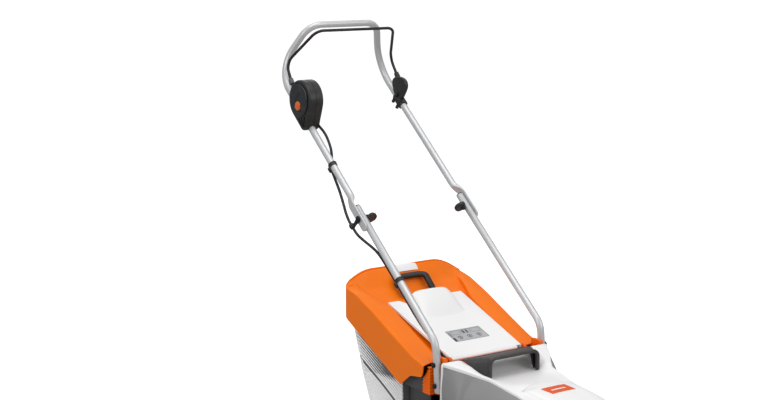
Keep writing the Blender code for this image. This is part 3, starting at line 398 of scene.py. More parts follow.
def remap(tree, value, low, high, toLow=0.0, toHigh=1.0):
    # a straight line between (low, toLow) and (high, toHigh), level beyond them
    return addNode(tree, "MapRange", {"Value": value, "From Min": low, "From Max": high, "To Min": toLow,
        "To Max": toHigh}).outputs[0]


def reckon(tree, operation, *values):
    return addNode(tree, "Math", dict(enumerate(values)), operation=operation).outputs[0]


def mouldGrainGroup():
    # height of a spark-eroded mould: fine noise, with a coarser noise under it
    group, place, given, out = newGroup("mouldGrain", [("Scale", "Float", 900.0), ("Coarse", "Float", 0.3)],
        [("Height", "Float")])
    coarse = reckon(group, "MULTIPLY", noise(group, place, 60.0, 2.0), given["Coarse"])
    total = reckon(group, "ADD", noise(group, place, given["Scale"], 3.0), coarse)
    group.links.new(total, out["Height"])
    return group


def toneGroup():
    # a colour made a little lighter and darker in wide soft patches, with pale dust in small ones
    group, place, given, out = newGroup("softTone", [("Color", "Color", (1, 1, 1, 1)),
        ("Amount", "Float", 0.06), ("Dust", "Float", 0.03)], [("Color", "Color")])
    patches = remap(group, noise(group, place, 7.0, 3.0), 0.3, 0.7, -1.0)
    swing = reckon(group, "MULTIPLY_ADD", patches, given["Amount"], 1.0)
    toned = addNode(group, "VectorMath", {0: given["Color"], "Scale": swing}, operation="SCALE")
    dust = remap(group, noise(group, place, 140.0, 6.0), 0.5, 0.75)
    mixed = addNode(group, "Mix", {"Factor": reckon(group, "MULTIPLY", dust, given["Dust"]),
        6: toned.outputs[0], 7: (0.62, 0.6, 0.56, 1)}, data_type="RGBA")
    group.links.new(mixed.outputs[2], out["Color"])
    return group


def scuffGroup():
    # roughness around a middle value: wide patches, and thin scratches from stretched noise
    group, place, given, out = newGroup("handScuffs",
        [("Roughness", "Float", 0.4), ("Scratches", "Float", 0.08)], [("Roughness", "Float")])
    stretched = addNode(group, "Mapping", {"Vector": place, "Rotation": (0.3, 0.7, 0.4),
        "Scale": (30.0, 420.0, 420.0)}).outputs[0]
    thin = remap(group, noise(group, stretched, 1.0, 2.0), 0.66, 0.74)
    swing = remap(group, noise(group, place, 18.0, 4.0), 0.3, 0.7, -0.05, 0.05)
    marks = reckon(group, "MULTIPLY_ADD", thin, given["Scratches"], given["Roughness"])
    group.links.new(reckon(group, "ADD", marks, swing), out["Roughness"])
    return group


mouldGrain, softTone, handScuffs = mouldGrainGroup(), toneGroup(), scuffGroup()
finishes = {
    # slot, colour as displayed, roughness, grain scale, its depth in hundredths of a mm, tone, dust,
    # scratches, and other sockets of the shader
    "orangeShell": ("orange_plastic", (255, 124, 0), 0.42, 700, 3, 0.02, 0, 0.05, {"Specular IOR Level": 0.25}),
    "orangeDeck": ("orange_plastic", (248, 112, 0), 0.45, 500, 6, 0.03, 0.01, 0.08, {"Specular IOR Level": 0.3}),
    "whiteShell": ("white_plastic", (243, 243, 243), 0.38, 800, 3, 0.012, 0, 0.05,
                   {"Coat Weight": 0.1, "Coat Roughness": 0.3}),
    # painted light: a white above the shell's, lifted so the louvres read as lit where the side light is dim;
    # the wheel discs share it
    "whiteTubPaintedLight": ("white_plastic", (255, 255, 255), 0.45, 600, 4, 0.015, 0, 0.05, {}),
    # box body in mid grey: painted shade in the gaps between the louvres, and the same grey in the flat band
    "greyWallAndPaintedGapShade": ("grey_plastic", (100, 101, 102), 0.55, 600, 5, 0.02, 0, 0.05, {}),
    "greySidePanel": ("grey_plastic", (138, 138, 139), 0.42, 900, 5, 0.02, 0, 0.05, {}),
    "charcoalPlastic": ("dark_plastic", (72, 73, 75), 0.5, 900, 8, 0.05, 0.03, 0.08, {}),
    "darkGrip": ("black_plastic", (56, 54, 55), 0.48, 1100, 8, 0.05, 0.02, 0.08, {}),
    "blackPlastic": ("black_plastic", (30, 30, 31), 0.4, 900, 8, 0.06, 0.03, 0.1, {}),
    "blackGlossFace": ("black_plastic", (24, 26, 32), 0.26, 1200, 3, 0.05, 0.02, 0.1, {}),
    "blackCoatedWire": ("black_plastic", (12, 12, 12), 0.36, 1500, 2, 0.05, 0.02, 0.08, {}),
    "tyreRubber": ("tyre_rubber", (34, 34, 35), 0.72, 500, 12, 0.08, 0.06, 0.04, {}),
    "cableSheath": ("cable_sheath", (16, 16, 17), 0.42, 1500, 3, 0.05, 0.02, 0.05, {}),
    "silverTube": ("tube_metal", (208, 209, 211), 0.3, 2600, 2, 0.02, 0, 0.05,
                   {"Metallic": 0.35, "Coat Weight": 0.25, "Coat Roughness": 0.15}),
    "zincSteel": ("steel", (176, 178, 180), 0.3, 1500, 2, 0.05, 0.02, 0.12, {"Metallic": 1.0}),
    "bladeSteel": ("steel", (96, 97, 100), 0.38, 700, 4, 0.08, 0.04, 0.15, {"Metallic": 0.9}),
    "blackedBolt": ("black_plastic", (30, 30, 32), 0.25, 1500, 3, 0.06, 0.02, 0.15, {"Metallic": 0.6}),
    "buttonOrange": ("orange_plastic", (226, 104, 16), 0.28, 1200, 2, 0.03, 0, 0.05,
                     {"Coat Weight": 0.4, "Coat Roughness": 0.1}),
    "badgeOrange": ("orange_plastic", (240, 92, 2), 0.22, 1500, 1, 0.01, 0, 0.04,
                    {"Coat Weight": 0.5, "Coat Roughness": 0.08}),
    "labelFilm": ("white_plastic", (176, 178, 180), 0.35, 1500, 1, 0.02, 0, 0.03,
                  {"Coat Weight": 0.3, "Coat Roughness": 0.1}),
    "labelInk": ("dark_plastic", (40, 40, 42), 0.4, 1500, 1, 0.03, 0, 0.03, {}),
    "greySocket": ("black_plastic", (92, 94, 95), 0.45, 900, 6, 0.04, 0.02, 0.08, {}),
}
drawnLines = {
    # axis that the lines run along, lines per metre, depth
    "zincSteel": (0, 1800.0, 0.00002), "bladeSteel": (1, 1400.0, 0.00003),
}


def linear(display):
    # display values from 0 to 255 as scene-linear colour
    c = vec(*display) / 255
    return (*np.where(c > 0.04045, ((c + 0.055) / 1.055) ** 2.4, c / 12.92).tolist(), 1.0)


def makeFinish(name, slot, display, roughness, grain, depth, tone, dust, scratches, sockets):
    # a moulded or coated surface: toned colour, scuffed roughness and a grain bump
    mat = bpy.data.materials.new(name)
    mat.use_nodes = True
    tree = mat.node_tree
    shader = tree.nodes["Principled BSDF"]
    toned = addNode(tree, "Group", {"Color": linear(display), "Amount": tone, "Dust": dust}, node_tree=softTone)
    scuffed = addNode(tree, "Group", {"Roughness": roughness, "Scratches": scratches}, node_tree=handScuffs)
    height = addNode(tree, "Group", {"Scale": grain, "Coarse": 0.1 if slot == "tube_metal" else 0.3},
        node_tree=mouldGrain)
    bump = addNode(tree, "Bump", {"Height": height.outputs[0], "Strength": 0.5, "Distance": depth * 0.00001})
    if name in drawnLines:
        # fine lines on top, from noise that is stretched sixty times along one axis
        axis, scale, deep = drawnLines[name]
        size = [scale / 60 if k == axis else scale for k in range(3)]
        place = addNode(tree, "TexCoord").outputs["Object"]
        stretched = addNode(tree, "Mapping", {"Vector": place, "Scale": size}).outputs[0]
        bump = addNode(tree, "Bump", {"Height": noise(tree, stretched, 1.0, 3.0), "Strength": 0.4,
            "Distance": deep, "Normal": bump.outputs[0]})
    tree.links.new(toned.outputs["Color"], shader.inputs["Base Color"])
    tree.links.new(scuffed.outputs["Roughness"], shader.inputs["Roughness"])
    tree.links.new(bump.outputs[0], shader.inputs["Normal"])
    for key, value in sockets.items():
        shader.inputs[key].default_value = value


for name, values in finishes.items():
    makeFinish(name, *values)
print("finishes made:", len(bpy.data.materials))


# handle tubes
upperTube = {
    "flatX": 0.1807, "flatHalf": (0.0024, 0.0125), "flatEnds": 0.044, "roundFrom": 0.082,
    "lowest": -0.0385, "corner": (0.111, 0.536, 1.073), "bends": (0.09, 0.055),
}


def makeUpperTube():
    # a round tube along the grip's route; below it, sections that ease into a flat strip with a round tip
    u = upperTube
    route = roundedPath([onRun(u["roundFrom"], 0, -run["tubeX"]), onRun(run["kink"], 0, -run["tubeX"]),
        (-u["corner"][0], *u["corner"][1:]), (0, *u["corner"][1:])], u["bends"])
    tipR = u["flatHalf"][1]
    s = np.concatenate([u["lowest"] + tipR * (1 - np.cos(np.linspace(0.12, np.pi / 2, 9))),
        np.linspace(-0.02, u["flatEnds"], 5), np.linspace(u["flatEnds"], u["roundFrom"], 13)[1:-1]])
    tip = np.clip((s - u["lowest"]) / tipR, 0, 1)
    t = easeIn((s - u["flatEnds"]) / (u["roundFrom"] - u["flatEnds"]))
    low = onRun(s, 0, -(u["flatX"] + (run["tubeX"] - u["flatX"]) * t))
    half = np.concatenate([low, route])
    thick = np.concatenate([u["flatHalf"][0] + (run["tubeR"] - u["flatHalf"][0]) * t,
        np.full(len(route), run["tubeR"])])
    wide = np.concatenate([(u["flatHalf"][1] + (run["tubeR"] - u["flatHalf"][1]) * t)
        * np.sqrt(1 - (1 - tip) ** 2 * 0.985), np.full(len(route), run["tubeR"])])
    path = np.concatenate([half, (half * vec(-1, 1, 1))[::-1][1:]])
    thick, wide = (np.concatenate([v, v[::-1][1:]]) for v in (thick, wide))
    a = ring(detail["tubeSides"])
    power = 2 / (2 + 3 * np.clip((run["tubeR"] - thick) / 0.006, 0, 1))[:, None]
    shape = [np.sign(f(a)) * np.abs(f(a)) ** power for f in (np.cos, np.sin)]
    section = np.stack([shape[0] * thick[:, None], shape[1] * wide[:, None]], -1)
    makePiece("gripTube", *capped(sweep(path, section)), "silverTube", "upper_handle", sharp=60,
        replaces="upper_handle")


lowerTube = {"foot": (-0.134, 0.205), "corner": -0.4086, "bend": 0.055, "top": 0.04}


def makeLowerTubes():
    # two straight runs and one bend on each side, with a dark plug in the upper end
    for side, label in ((-1, "right"), (1, "left")):
        x = side * run["tubeX"]
        path = roundedPath([(x, *lowerTube["foot"]), onRun(lowerTube["corner"], 0, x),
            onRun(lowerTube["top"], 0, x)], [lowerTube["bend"]])
        bar("legTube_" + label, path, roundSection(run["tubeR"]), "silverTube", "chassis",
            replaces="lower_handle_" + label)
        plug = onRun(np.array([0.0405, 0.042, 0.043]), 0, x)
        turnedEnd = sweep(plug, roundSection(0.009), scale=(1.0, 0.96, 0.7))
        makePiece("legPlug_" + label, *capped(turnedEnd), "blackPlastic", "chassis")


bail = {
    "axis": (0.52, 0.908), "radius": 0.004,
    "half": [(-0.159, 0.52, 0.908), (-0.1765, 0.52, 0.908), (-0.1735, 0.559, 0.97),
             (-0.126, 0.476, 1.06)],
    "bends": (0.006, 0.035, 0.032, 0.032, 0.035, 0.006),
}


def makeBail():
    # round wire through the bail's corners, mirrored; each end has a moulded collar
    corners = bail["half"] + [(-x, y, z) for x, y, z in bail["half"][::-1]]
    bar("bailWire", roundedPath(corners, bail["bends"]), roundSection(bail["radius"], 20), "blackCoatedWire",
        "bail", replaces="bail_lever")
    for side, label in ((-1, "right"), (1, "left")):
        a, b = (vec(side * abs(c[0]), c[1], c[2]) for c in bail["half"][1:3])
        along = (b - a) / np.linalg.norm(b - a)
        path = a + along * np.array([0.0085, 0.0095, 0.024, 0.025])[:, None]
        makePiece("bailCollar_" + label, *capped(sweep(path, boxSection(0.0125, 0.0135, 0.003),
            scale=(0.9, 1, 0.86, 0.76))), "greySocket" if side < 0 else "blackPlastic", "bail")


makeUpperTube()
makeLowerTubes()
makeBail()
print("handle made")


# switch box on the right tube
switchBox = {
    "top": (0.467, 0.877), "topR": 0.054, "tip": (0.45, 0.813), "tipR": 0.0165,
    "outer": -0.19, "seam": -0.1675, "inner": -0.145, "edge": 0.005, "button": (0.471, 0.861),
    "shield": ((0.4675, 0.876), 0.044),
}


def eggRow(x, out):
    # the box's outline at sideways place x, moved out or in
    b = switchBox
    return points3(x, *capsuleLine(b["top"], b["topR"] + out, b["tip"], b["tipR"] + out, 36).T)


def makeSwitchBox():
    # two shells turned out of the egg outline: a wall, a rounded edge and a face that dishes inwards
    b = switchBox
    a = quarter(7)
    edge = b["edge"]
    for name, face, seam, step in (("switchShellOuter", b["outer"], b["seam"] - 0.0003, 1),
            ("switchShellInner", b["inner"], b["seam"] + 0.0003, -1)):
        outs = [-0.0012, 0.0, *(-edge * (1 - np.cos(a))), -edge - 0.002, -edge - 0.003]
        xs = [seam, seam - step * 0.0012, *(face + step * edge * (1 - np.sin(a))), face, face + step * 0.001]
        rows = [eggRow(x, out) for x, out in zip(xs, outs)]
        makePiece(name, *capped(np.stack(rows)), "blackPlastic", "upper_handle", sharp=30,
            replaces="switch_housing" if step == 1 else "switch_cover")
    seamLine = [eggRow(b["seam"] + side, -0.0016) for side in (-0.002, 0.002)]
    makePiece("switchSeam", *capped(np.stack(seamLine)), "blackPlastic", "upper_handle")


def makeShield():
    # a round raised shield with a drop-shaped hollow around the button: height falls inside the drop
    b = switchBox
    (cy, cz), radius = b["shield"]
    r = np.concatenate([np.linspace(0.02, 0.93, 40), 0.93 + 0.07 * np.sin(quarter(7))[1:]])
    lift = np.concatenate([np.ones(40), np.cos(quarter(7))[1:]])
    a = ring(144)
    y, z = cy + radius * r[:, None] * np.cos(a), cz + radius * r[:, None] * np.sin(a)
    py, pz = y - b["button"][0], z - b["button"][1]
    along = (py * -0.35 + pz * 0.94).clip(0, 0.034)
    drop = np.hypot(py - along * -0.35, pz - along * 0.94) - (0.0172 - 0.25 * along)
    hollow = easeIn((0.0015 - drop) / 0.003)
    ridge = 0.0012 * (1 - easeIn((py * 0.94 + pz * 0.35 + 0.006) / 0.02)) * easeIn((pz + 0.01) / 0.012)
    x = b["outer"] - 0.0003 - lift[:, None] * 0.0028 + hollow * 0.0024 - ridge * lift[:, None] * (1 - hollow)
    rim = np.stack([np.full(len(a), b["outer"] + 0.0015), y[-1], z[-1]], -1)
    grid = np.concatenate([np.stack([x, y, z], -1), rim[None]])
    makePiece("switchShield", *capped(grid), "blackGlossFace", "upper_handle", sharp=50)
    ribs = []
    for k in range(4):
        t = k / 3
        top = vec(0.43 + 0.042 * t, 0.833 - 0.01 * abs(t - 0.35))
        foot = vec(0.442 + 0.017 * t, 0.807)
        line = capsuleLine(top, 0.0016, foot, 0.0011, 6)
        ribs.append(slabPart(line, b["outer"] - 0.0016, b["outer"] + 0.001, 0.0006))
    joined("switchRibs", ribs, "blackPlastic", "upper_handle")
    profile = [(0.0152, -0.003), (0.0152, 0.0002), (0.0148, 0.001), (0.0138, 0.001), (0.0133, 0.0002),
        (0.0133, -0.003)]
    turned("buttonRing", profile, (b["outer"] - 0.0006, *b["button"]), (-1, 0, 0), "blackPlastic",
        "upper_handle")
    cap = [(0.011, -0.0045), (0.0126, -0.004), (0.0126, 0.0026), (0.0122, 0.0036), (0.0112, 0.0043),
        (0.0085, 0.0052), (0.0045, 0.0058), (0.001, 0.006)]
    turned("startCap", cap, (b["outer"], *b["button"]), (-1, 0, 0), "buttonOrange", "start_button", sharp=50,
        replaces="start_button")


def makeSwitchTrim():
    # a lug where the bail enters, ribs across the front wall, clamp screws and the cable's bush
    b = switchBox
    lug = capsuleLine(bail["axis"], 0.0085, (0.5, 0.889), 0.01, 16)
    slab("bailLug", lug, b["seam"] + 0.0006, -0.1575, 0.0012, "blackPlastic", "upper_handle")
    band = []
    for z in (0.846, 0.8435):
        y = 0.467 - math.sqrt((b["topR"] + 0.0003) ** 2 - (z - b["top"][1]) ** 2)
        band.append(blockPart((b["outer"] + 0.006, y - 0.0006, z - 0.0006),
            (b["inner"] - 0.006, y + 0.003, z + 0.0006), 0.0003))
    joined("switchBand", band, "blackGlossFace", "upper_handle")
    screws = [turnedPart([(0.0036, -0.002), (0.0036, 0.0006), (0.0032, 0.001), (0.0016, 0.001),
        (0.0015, 0.0002), (0.0003, 0.0002)], (b["inner"] + 0.0005, *at), (1, 0, 0), 24)
        for at in ((0.44, 0.9), (0.494, 0.852), (0.449, 0.826), (0.484, 0.908))]
    joined("switchScrews", screws, "zincSteel", "upper_handle")
    out = onRun(np.array([0.352, 0.346, 0.334, 0.322]), np.array([0.0045, 0.0053, 0.0072, 0.01]),
        np.array([-0.1512, -0.1509, -0.1502, -0.1494]))
    makePiece("cableBush", *capped(sweep(out, roundSection(0.0058, 20), scale=(1, 1, 0.86, 0.72))),
        "blackPlastic", "upper_handle", slot="cable_sheath")


makeSwitchBox()
makeShield()
makeSwitchTrim()
print("switch box made")


# bail bearing on the left tube
bearing = {
    "run": (0.385, 0.425), "radius": 0.014, "x": (0.1578, 0.168),
    "ear": [(0.4935, 0.846), (0.464, 0.884), (0.46, 0.901), (0.469, 0.915), (0.492, 0.9215),
            (0.516, 0.919), (0.5285, 0.91), (0.5285, 0.896), (0.518, 0.866)],
}


def roundedOutline(points, rounds=3):
    # each pass replaces a corner by two points a quarter of the way along its two sides
    p = np.asarray(points, float)
    for _ in range(rounds):
        ahead = np.roll(p, -1, 0)
        p = np.stack([0.75 * p + 0.25 * ahead, 0.25 * p + 0.75 * ahead], 1).reshape(-1, p.shape[1])
    return p


def makeBearing():
    # a paddle-shaped ear, a split clamp ring around the tube, and its two screws
    b = bearing
    slab("bearingEar", roundedOutline(b["ear"]), *b["x"], 0.0022, "blackPlastic", "upper_handle",
        replaces="bail_bearing")
    s0, s1 = b["run"]
    s = np.array([s0, s0 + 0.001, s1 - 0.001, s1, s1, s1 - 0.0005, s0 + 0.0005, s0])
    r = np.array([b["radius"] - 0.001, b["radius"], b["radius"],
        b["radius"] - 0.001] + [run["tubeR"] + 0.0002] * 4)
    a = ring(40)
    centre = onRun(s, 0, run["tubeX"])
    up = vec(0, -math.sin(run["slope"]), math.cos(run["slope"]))
    grid = centre[:, None] + r[:, None, None] * (np.cos(a)[:, None] * vec(1, 0, 0) + np.sin(a)[:, None] * up)
    makePiece("bearingClamp", *looped(grid), "blackPlastic", "upper_handle", sharp=50)
    parts = []
    for s in (0.393, 0.417):
        for side in (-1, 1):
            at = onRun(s, side * 0.0115, run["tubeX"] - 0.011)
            parts.append(turnedPart([(0.0048, -0.006), (0.0048, 0.0045), (0.0042, 0.0052), (0.0005, 0.0052)],
                at, up * side, 20))
    joined("bearingBosses", parts, "blackPlastic", "upper_handle")


makeBearing()


# cables, clips and knobs
cable = {
    "radius": 0.0037,
    # (along the tubes, square to them, sideways) from the switch box to the guide at the fold
    "upper": [(0.352, 0.0045, -0.1512), (0.338, 0.0065, -0.1504), (0.318, 0.011, -0.1492),
              (0.298, 0.0145, -0.1488), (0.278, 0.0145, -0.149), (0.258, 0.0115, -0.15),
              (0.242, 0.008, -0.1515), (0.227, 0.001, -0.1532), (0.214, -0.0085, -0.156),
              (0.202, -0.0143, -0.164), (0.189, -0.0152, -0.1675), (0.172, -0.0156, -0.1692),
              (0.145, -0.017, -0.1725), (0.112, -0.0205, -0.176), (0.078, -0.025, -0.1812),
              (0.045, -0.0285, -0.1872), (0.022, -0.0293, -0.1902), (0.0086, -0.029, -0.1905)],
    "lower": [(0.0076, -0.029, -0.1905), (-0.012, -0.029, -0.1903), (-0.03, -0.0283, -0.1886),
              (-0.05, -0.0255, -0.1835), (-0.068, -0.022, -0.1785), (-0.086, -0.0185, -0.174),
              (-0.104, -0.016, -0.171), (-0.13, -0.015, -0.1693), (-0.165, -0.0148, -0.1685),
              (-0.21, -0.0148, -0.168), (-0.26, -0.0148, -0.168), (-0.31, -0.0148, -0.1675),
              (-0.35, -0.015, -0.165), (-0.378, -0.0175, -0.159)],
    "tail": [(-0.15, -0.107, 0.308), (-0.141, -0.12, 0.29), (-0.137, -0.125, 0.276),
             (-0.137, -0.125, 0.258)],
    "clips": {"upper": (0.189, (-0.1675, -0.015), "upper_handle"),
              "lower": (-0.21, (-0.168, -0.0148), "chassis")},
    "guide": (0.002, (-0.1905, -0.029)),
}


def makeCables():
    # a smooth curve through the route's points, swept with a circle
    points = {name: onRun(*np.array(cable[name]).T) for name in ("upper", "lower")}
    points["lower"] = np.concatenate([points["lower"], np.array(cable["tail"])])
    for name, body in (("upper", "upper_handle"), ("lower", "chassis")):
        bar("cable_" + name + "_sheath", smoothCurve(points[name], 6), roundSection(cable["radius"], 16),
            "cableSheath", body, soft=0.0004, replaces="cable_" + name)


def bandPart(outline, s, length, thick, lift=0.0):
    # a strap of rounded section round a closed (sideways, square-to-tube) outline at s along the tubes
    normal = outwards(outline)
    cut = boxSection(thick, length, min(thick, length) * 0.3, 4) + vec(thick / 2, 0)
    across = outline[:, None] + normal[:, None] * (cut[None, :, :1] + lift)
    along = np.broadcast_to(s + cut[None, :, 1], across.shape[:2])
    return looped(onRun(along, across[..., 1], across[..., 0]))


def makeClips():
    # one strap round tube and cable, a second collar for its buckle
    for name, (s, (x, n), body) in cable["clips"].items():
        tube, tubeR, cableR = -run["tubeX"], run["tubeR"], cable["radius"]
        loop = capsuleLine((tube, 0), tubeR + 0.0002, (x, n), cableR + 0.0006, 24)
        waist = capsuleLine((x, n), cableR + 0.0012, (x - 0.001, n - 0.0022), cableR + 0.0006, 12)
        collar = capsuleLine((tube, 0), tubeR + 0.0001, (tube, 0.0001), tubeR + 0.00005, 20)
        parts = [bandPart(loop, s, 0.0098, 0.0018), bandPart(waist, s, 0.012, 0.0018),
            bandPart(collar, s + 0.0045, 0.0022, 0.0027)]
        joined("cableClip_" + name, parts, "blackPlastic", body, replaces="cable_clip_" + name)


def makeGuide():
    # a P-clip: an eye round the cable, its neck, and a flat strap to the fold's bolt
    s, (x, n) = cable["guide"]
    eye = capsuleLine((x, n), cable["radius"] + 0.0005, (x + 0.0001, n + 0.0001), cable["radius"] + 0.00045, 20)
    parts = [bandPart(eye, s, 0.012, 0.0026), bandPart(eye, s, 0.003, 0.0036)]
    strap = capsuleLine((0.002, -0.0195), 0.0055, (0.0, 0.0), 0.0085, 16)
    neck = capsuleLine((0.0, -0.0245), 0.0042, (0.0, -0.0185), 0.005, 12)
    for outline, low, high, edge in ((strap, -0.1858, -0.1838, 0.0005), (neck, -0.1895, -0.1845, 0.001)):
        grid, faces = slabPart(outline, low, high, edge, "z")
        parts.append((onRun(*grid.T), faces))
    joined("cableGuide", parts, "blackPlastic", "chassis", replaces="cable_guide")


def makeFoldBolts():
    # domed heads outside, with a washer; on the inside a winged knob on each bolt
    up = np.array([0, -math.sin(run["slope"]), math.cos(run["slope"])])
    for side, label in ((-1, "right"), (1, "left")):
        seat = run["tubeX"] + (0.0185 if side < 0 else 0.0162)
        head = [(0.003, -0.044), (0.003, 0.0), (0.0088, 0.0), (0.0088, 0.001), (0.0078, 0.0012),
            (0.007, 0.0026), (0.0052, 0.0036), (0.0024, 0.004), (0.0004, 0.0041)]
        turned("foldBolt_" + label, head, (side * seat, *run["pivot"]), (side, 0, 0), "blackedBolt", "chassis",
            32, replaces="pivot_bolt_" + label)
        face = run["tubeX"] - run["tubeR"] - 0.0003
        hub = turnedPart([(0.0098, 0.0), (0.0102, 0.0008), (0.0098, 0.005), (0.0082, 0.0086), (0.004, 0.0092)],
            (side * face, *run["pivot"]), (-side, 0, 0), 28)
        wing = roundedOutline([(0.0105, -0.015), (-0.004, -0.017), (-0.016, -0.008), (-0.018, 0.006),
            (-0.008, 0.017), (0.0075, 0.019), (0.012, 0.004)])
        grid, faces = slabPart(wing, -0.005, 0.005, 0.0036, "z", 5)
        place = vec(side * (face - 0.0115), *run["pivot"])
        along = vec(0, math.cos(run["slope"]), math.sin(run["slope"]))
        turnedWing = place + grid[:, :1] * vec(side, 0, 0) + grid[:, 1:2] * up + grid[:, 2:] * along
        joined("wingKnob_" + label, [hub, (turnedWing, faces)], "blackPlastic", "knob_" + label, sharp=50,
            replaces="wing_knob_" + label)


makeCables()
makeClips()
makeGuide()
makeFoldBolts()
print("cables and knobs made")


# discharge flap
flap = {
    "axis": (-0.113, 0.2765), "slope": 0.345, "start": 0.2805, "wall": 0.0028,
    "half": (0.112, 0.118), "rear": 0.15, "notch": 0.02, "skirt": 0.0065, "roll": 0.0015,
    "gripStart": 0.054, "gripRise": 0.033, "gripHalf": 0.068,
}


def flapTop(y):
    return flap["start"] + (y - flap["axis"][0]) * flap["slope"]


def gripRise(x, y):
    # nothing before a bowed line; behind it a quarter sine up to the full height, steep at the sides
    f = flap
    start = f["gripStart"] + 0.01 * (x / f["gripHalf"]) ** 2
    t = np.clip((y - start) / 0.062, 0, 1)
    side = np.clip(1 - (np.abs(x) / f["gripHalf"]) ** 7, 0, 1) ** 0.6
    crown = 1 - 0.1 * (x / f["gripHalf"]) ** 2
    return f["gripRise"] * np.sin(t * np.pi / 2) * side * crown


def makeFlap():
    # a sloping sheet with its edges turned down: straight in y, raised under the grip
    f = flap
    u = np.linspace(-1, 1, 101)
    t = np.linspace(0, 1, 121)[:, None]
    notch = f["notch"] * easeIn((0.088 - np.abs(u * f["half"][1])) / 0.022)
    y0 = f["axis"][0] + 0.002
    y = y0 + (f["rear"] - notch - y0) * t
    x = u * (f["half"][0] + (f["half"][1] - f["half"][0]) * t)
    z = flapTop(y) + gripRise(x, y)
    grid = rolledSides(np.stack([x, y, z], -1), f["roll"], f["roll"], f["skirt"])
    sheet("flapSheet", grid, "whiteShell", "flap", wall=f["wall"], rim=0.0007, away=(0, 0, -3),
        replaces="discharge_flap")
    knuckles = [turnedPart([(0.0028, 0), (0.0038, 0), (0.0042, 0.0004), (0.0042, 0.2076), (0.0038, 0.208),
        (0.0028, 0.208)], (-0.112, *f["axis"]), (1, 0, 0), 24),
        blockPart((-0.111, f["axis"][0] + 0.0005, f["axis"][1] - 0.001),
        (0.095, f["axis"][0] + 0.014, flapTop(f["axis"][0] + 0.0005) - 0.0006), 0.0005)]
    joined("flapKnuckles", knuckles, "whiteShell", "flap")


label = {"low": (-0.0545, -0.0565), "high": (0.0545, -0.0085), "film": 0.0003, "ink": 0.00025}


def onFlap(outline, lift):
    return points3(*outline.T, flapTop(outline[:, 1]) + lift)


def ringPart(outline, width, lift=label["film"], tall=label["ink"]):
    # a flat closed line of a given width on the flap: the outline and the same shrunk to its middle
    middle = outline.mean(0)
    inner = middle + (outline - middle) * (1 - width / np.linalg.norm(outline - middle, axis=1).min())
    return looped(np.stack([onFlap(outline, lift), onFlap(outline, lift + tall), onFlap(inner, lift + tall),
        onFlap(inner, lift)]))


def platePart(outline, lift=label["film"], tall=label["ink"]):
    return capped(np.stack([onFlap(outline, lift), onFlap(outline, lift + tall)]))


def frameLine(low, high, corner=0.001):
    middle = (vec(*low) + vec(*high)) / 2
    size = vec(*high) - vec(*low)
    return boxSection(size[0], size[1], corner, 4) + middle


def makeLabel():
    # a thin film with three plain triangles below and three plain frames above, no signs in them
    (x0, y0), (x1, y1) = label["low"], label["high"]
    film = platePart(frameLine(label["low"], label["high"], 0.002), -0.0002, 0.0005)
    joined("flapLabel", [film], "labelFilm", "flap")
    ink = [ringPart(frameLine((x0 + 0.001, y0 + 0.001), (x1 - 0.001, y1 - 0.001), 0.0015), 0.0005)]
    for x in x0 + 0.026 + 0.03 * np.arange(3):
        triangle = [(x - 0.0105, y0 + 0.021), (x + 0.0105, y0 + 0.021), (x, y0 + 0.0035)]
        ink += [ringPart(roundedOutline(triangle, 2), 0.0013),
            platePart(capsuleLine((x, y0 + 0.012), 0.001, (x, y0 + 0.0175), 0.0013, 5))]
    for x in x0 + 0.014 + 0.031 * np.arange(3):
        ink.append(ringPart(frameLine((x, y1 - 0.0195), (x + 0.026, y1 - 0.004)), 0.0005))
    bars = [((x - 0.011, y1 - 0.018), (x - 0.006, y1 - 0.006), 0.0008) for x in (0.004, 0.0145)]
    bars.append(((x0 + 0.002, y0 + 0.003), (x0 + 0.0085, y0 + 0.017), 0.0008))
    bars += [((x0 + 0.003, y), (x0 + 0.01, y + 0.0015), 0.0004) for y in y0 + 0.0245 + 0.0045 * np.arange(4)]
    ink += [platePart(frameLine(*b)) for b in bars]
    joined("labelMarks", ink, "labelInk", "flap")


makeFlap()
makeLabel()
print("flap made")


# grass box
box = {
    "half": 0.19, "rear": 0.262, "corner": 0.026, "front": -0.1, "crest": 0.036,
    "edge": [(-0.1, 0.262), (-0.096, 0.24), (-0.046, 0.233), (-0.004, 0.2), (0.262, 0.331)],
    "crease": [(-0.1, 0.27), (-0.054, 0.283), (0.025, 0.318), (0.129, 0.366), (0.201, 0.394), (0.262, 0.406)],
    "innerHalf": [(-0.1, 0.126), (0.12, 0.126), (0.17, 0.146), (0.212, 0.156), (0.236, 0.16)],
    "innerCorner": 0.012, "wall": 0.0025,
    "slatPitch": 0.0094, "slatTall": 0.005, "slatProud": 0.0026, "flatBand": (0.0905, 0.1005),
    "tubHalf": [(0.07, 0.16), (0.078, 0.166), (0.19, 0.17), (0.331, 0.175)],
    "tubRear": [(0.07, 0.15), (0.078, 0.168), (0.19, 0.2135), (0.331, 0.2555)],
}


def lidFloor(y):
    # under the flap in front, rising to just below the crease behind
    crease = softTable(box["crease"], y)
    low = np.minimum(crease - 0.005, flapTop(y) - 0.0105)
    return low + (crease - 0.003 - low) * easeIn((y - 0.172) / 0.055)


def lidCrest(x, y):
    # the arched rear ridge: a quarter sine in from each side, times an S curve towards the back
    across = np.sin(np.pi / 2 * np.clip((box["half"] - np.abs(x)) / 0.09, 0, 1))
    return box["crest"] * across * easeIn((y - 0.212) / 0.04)


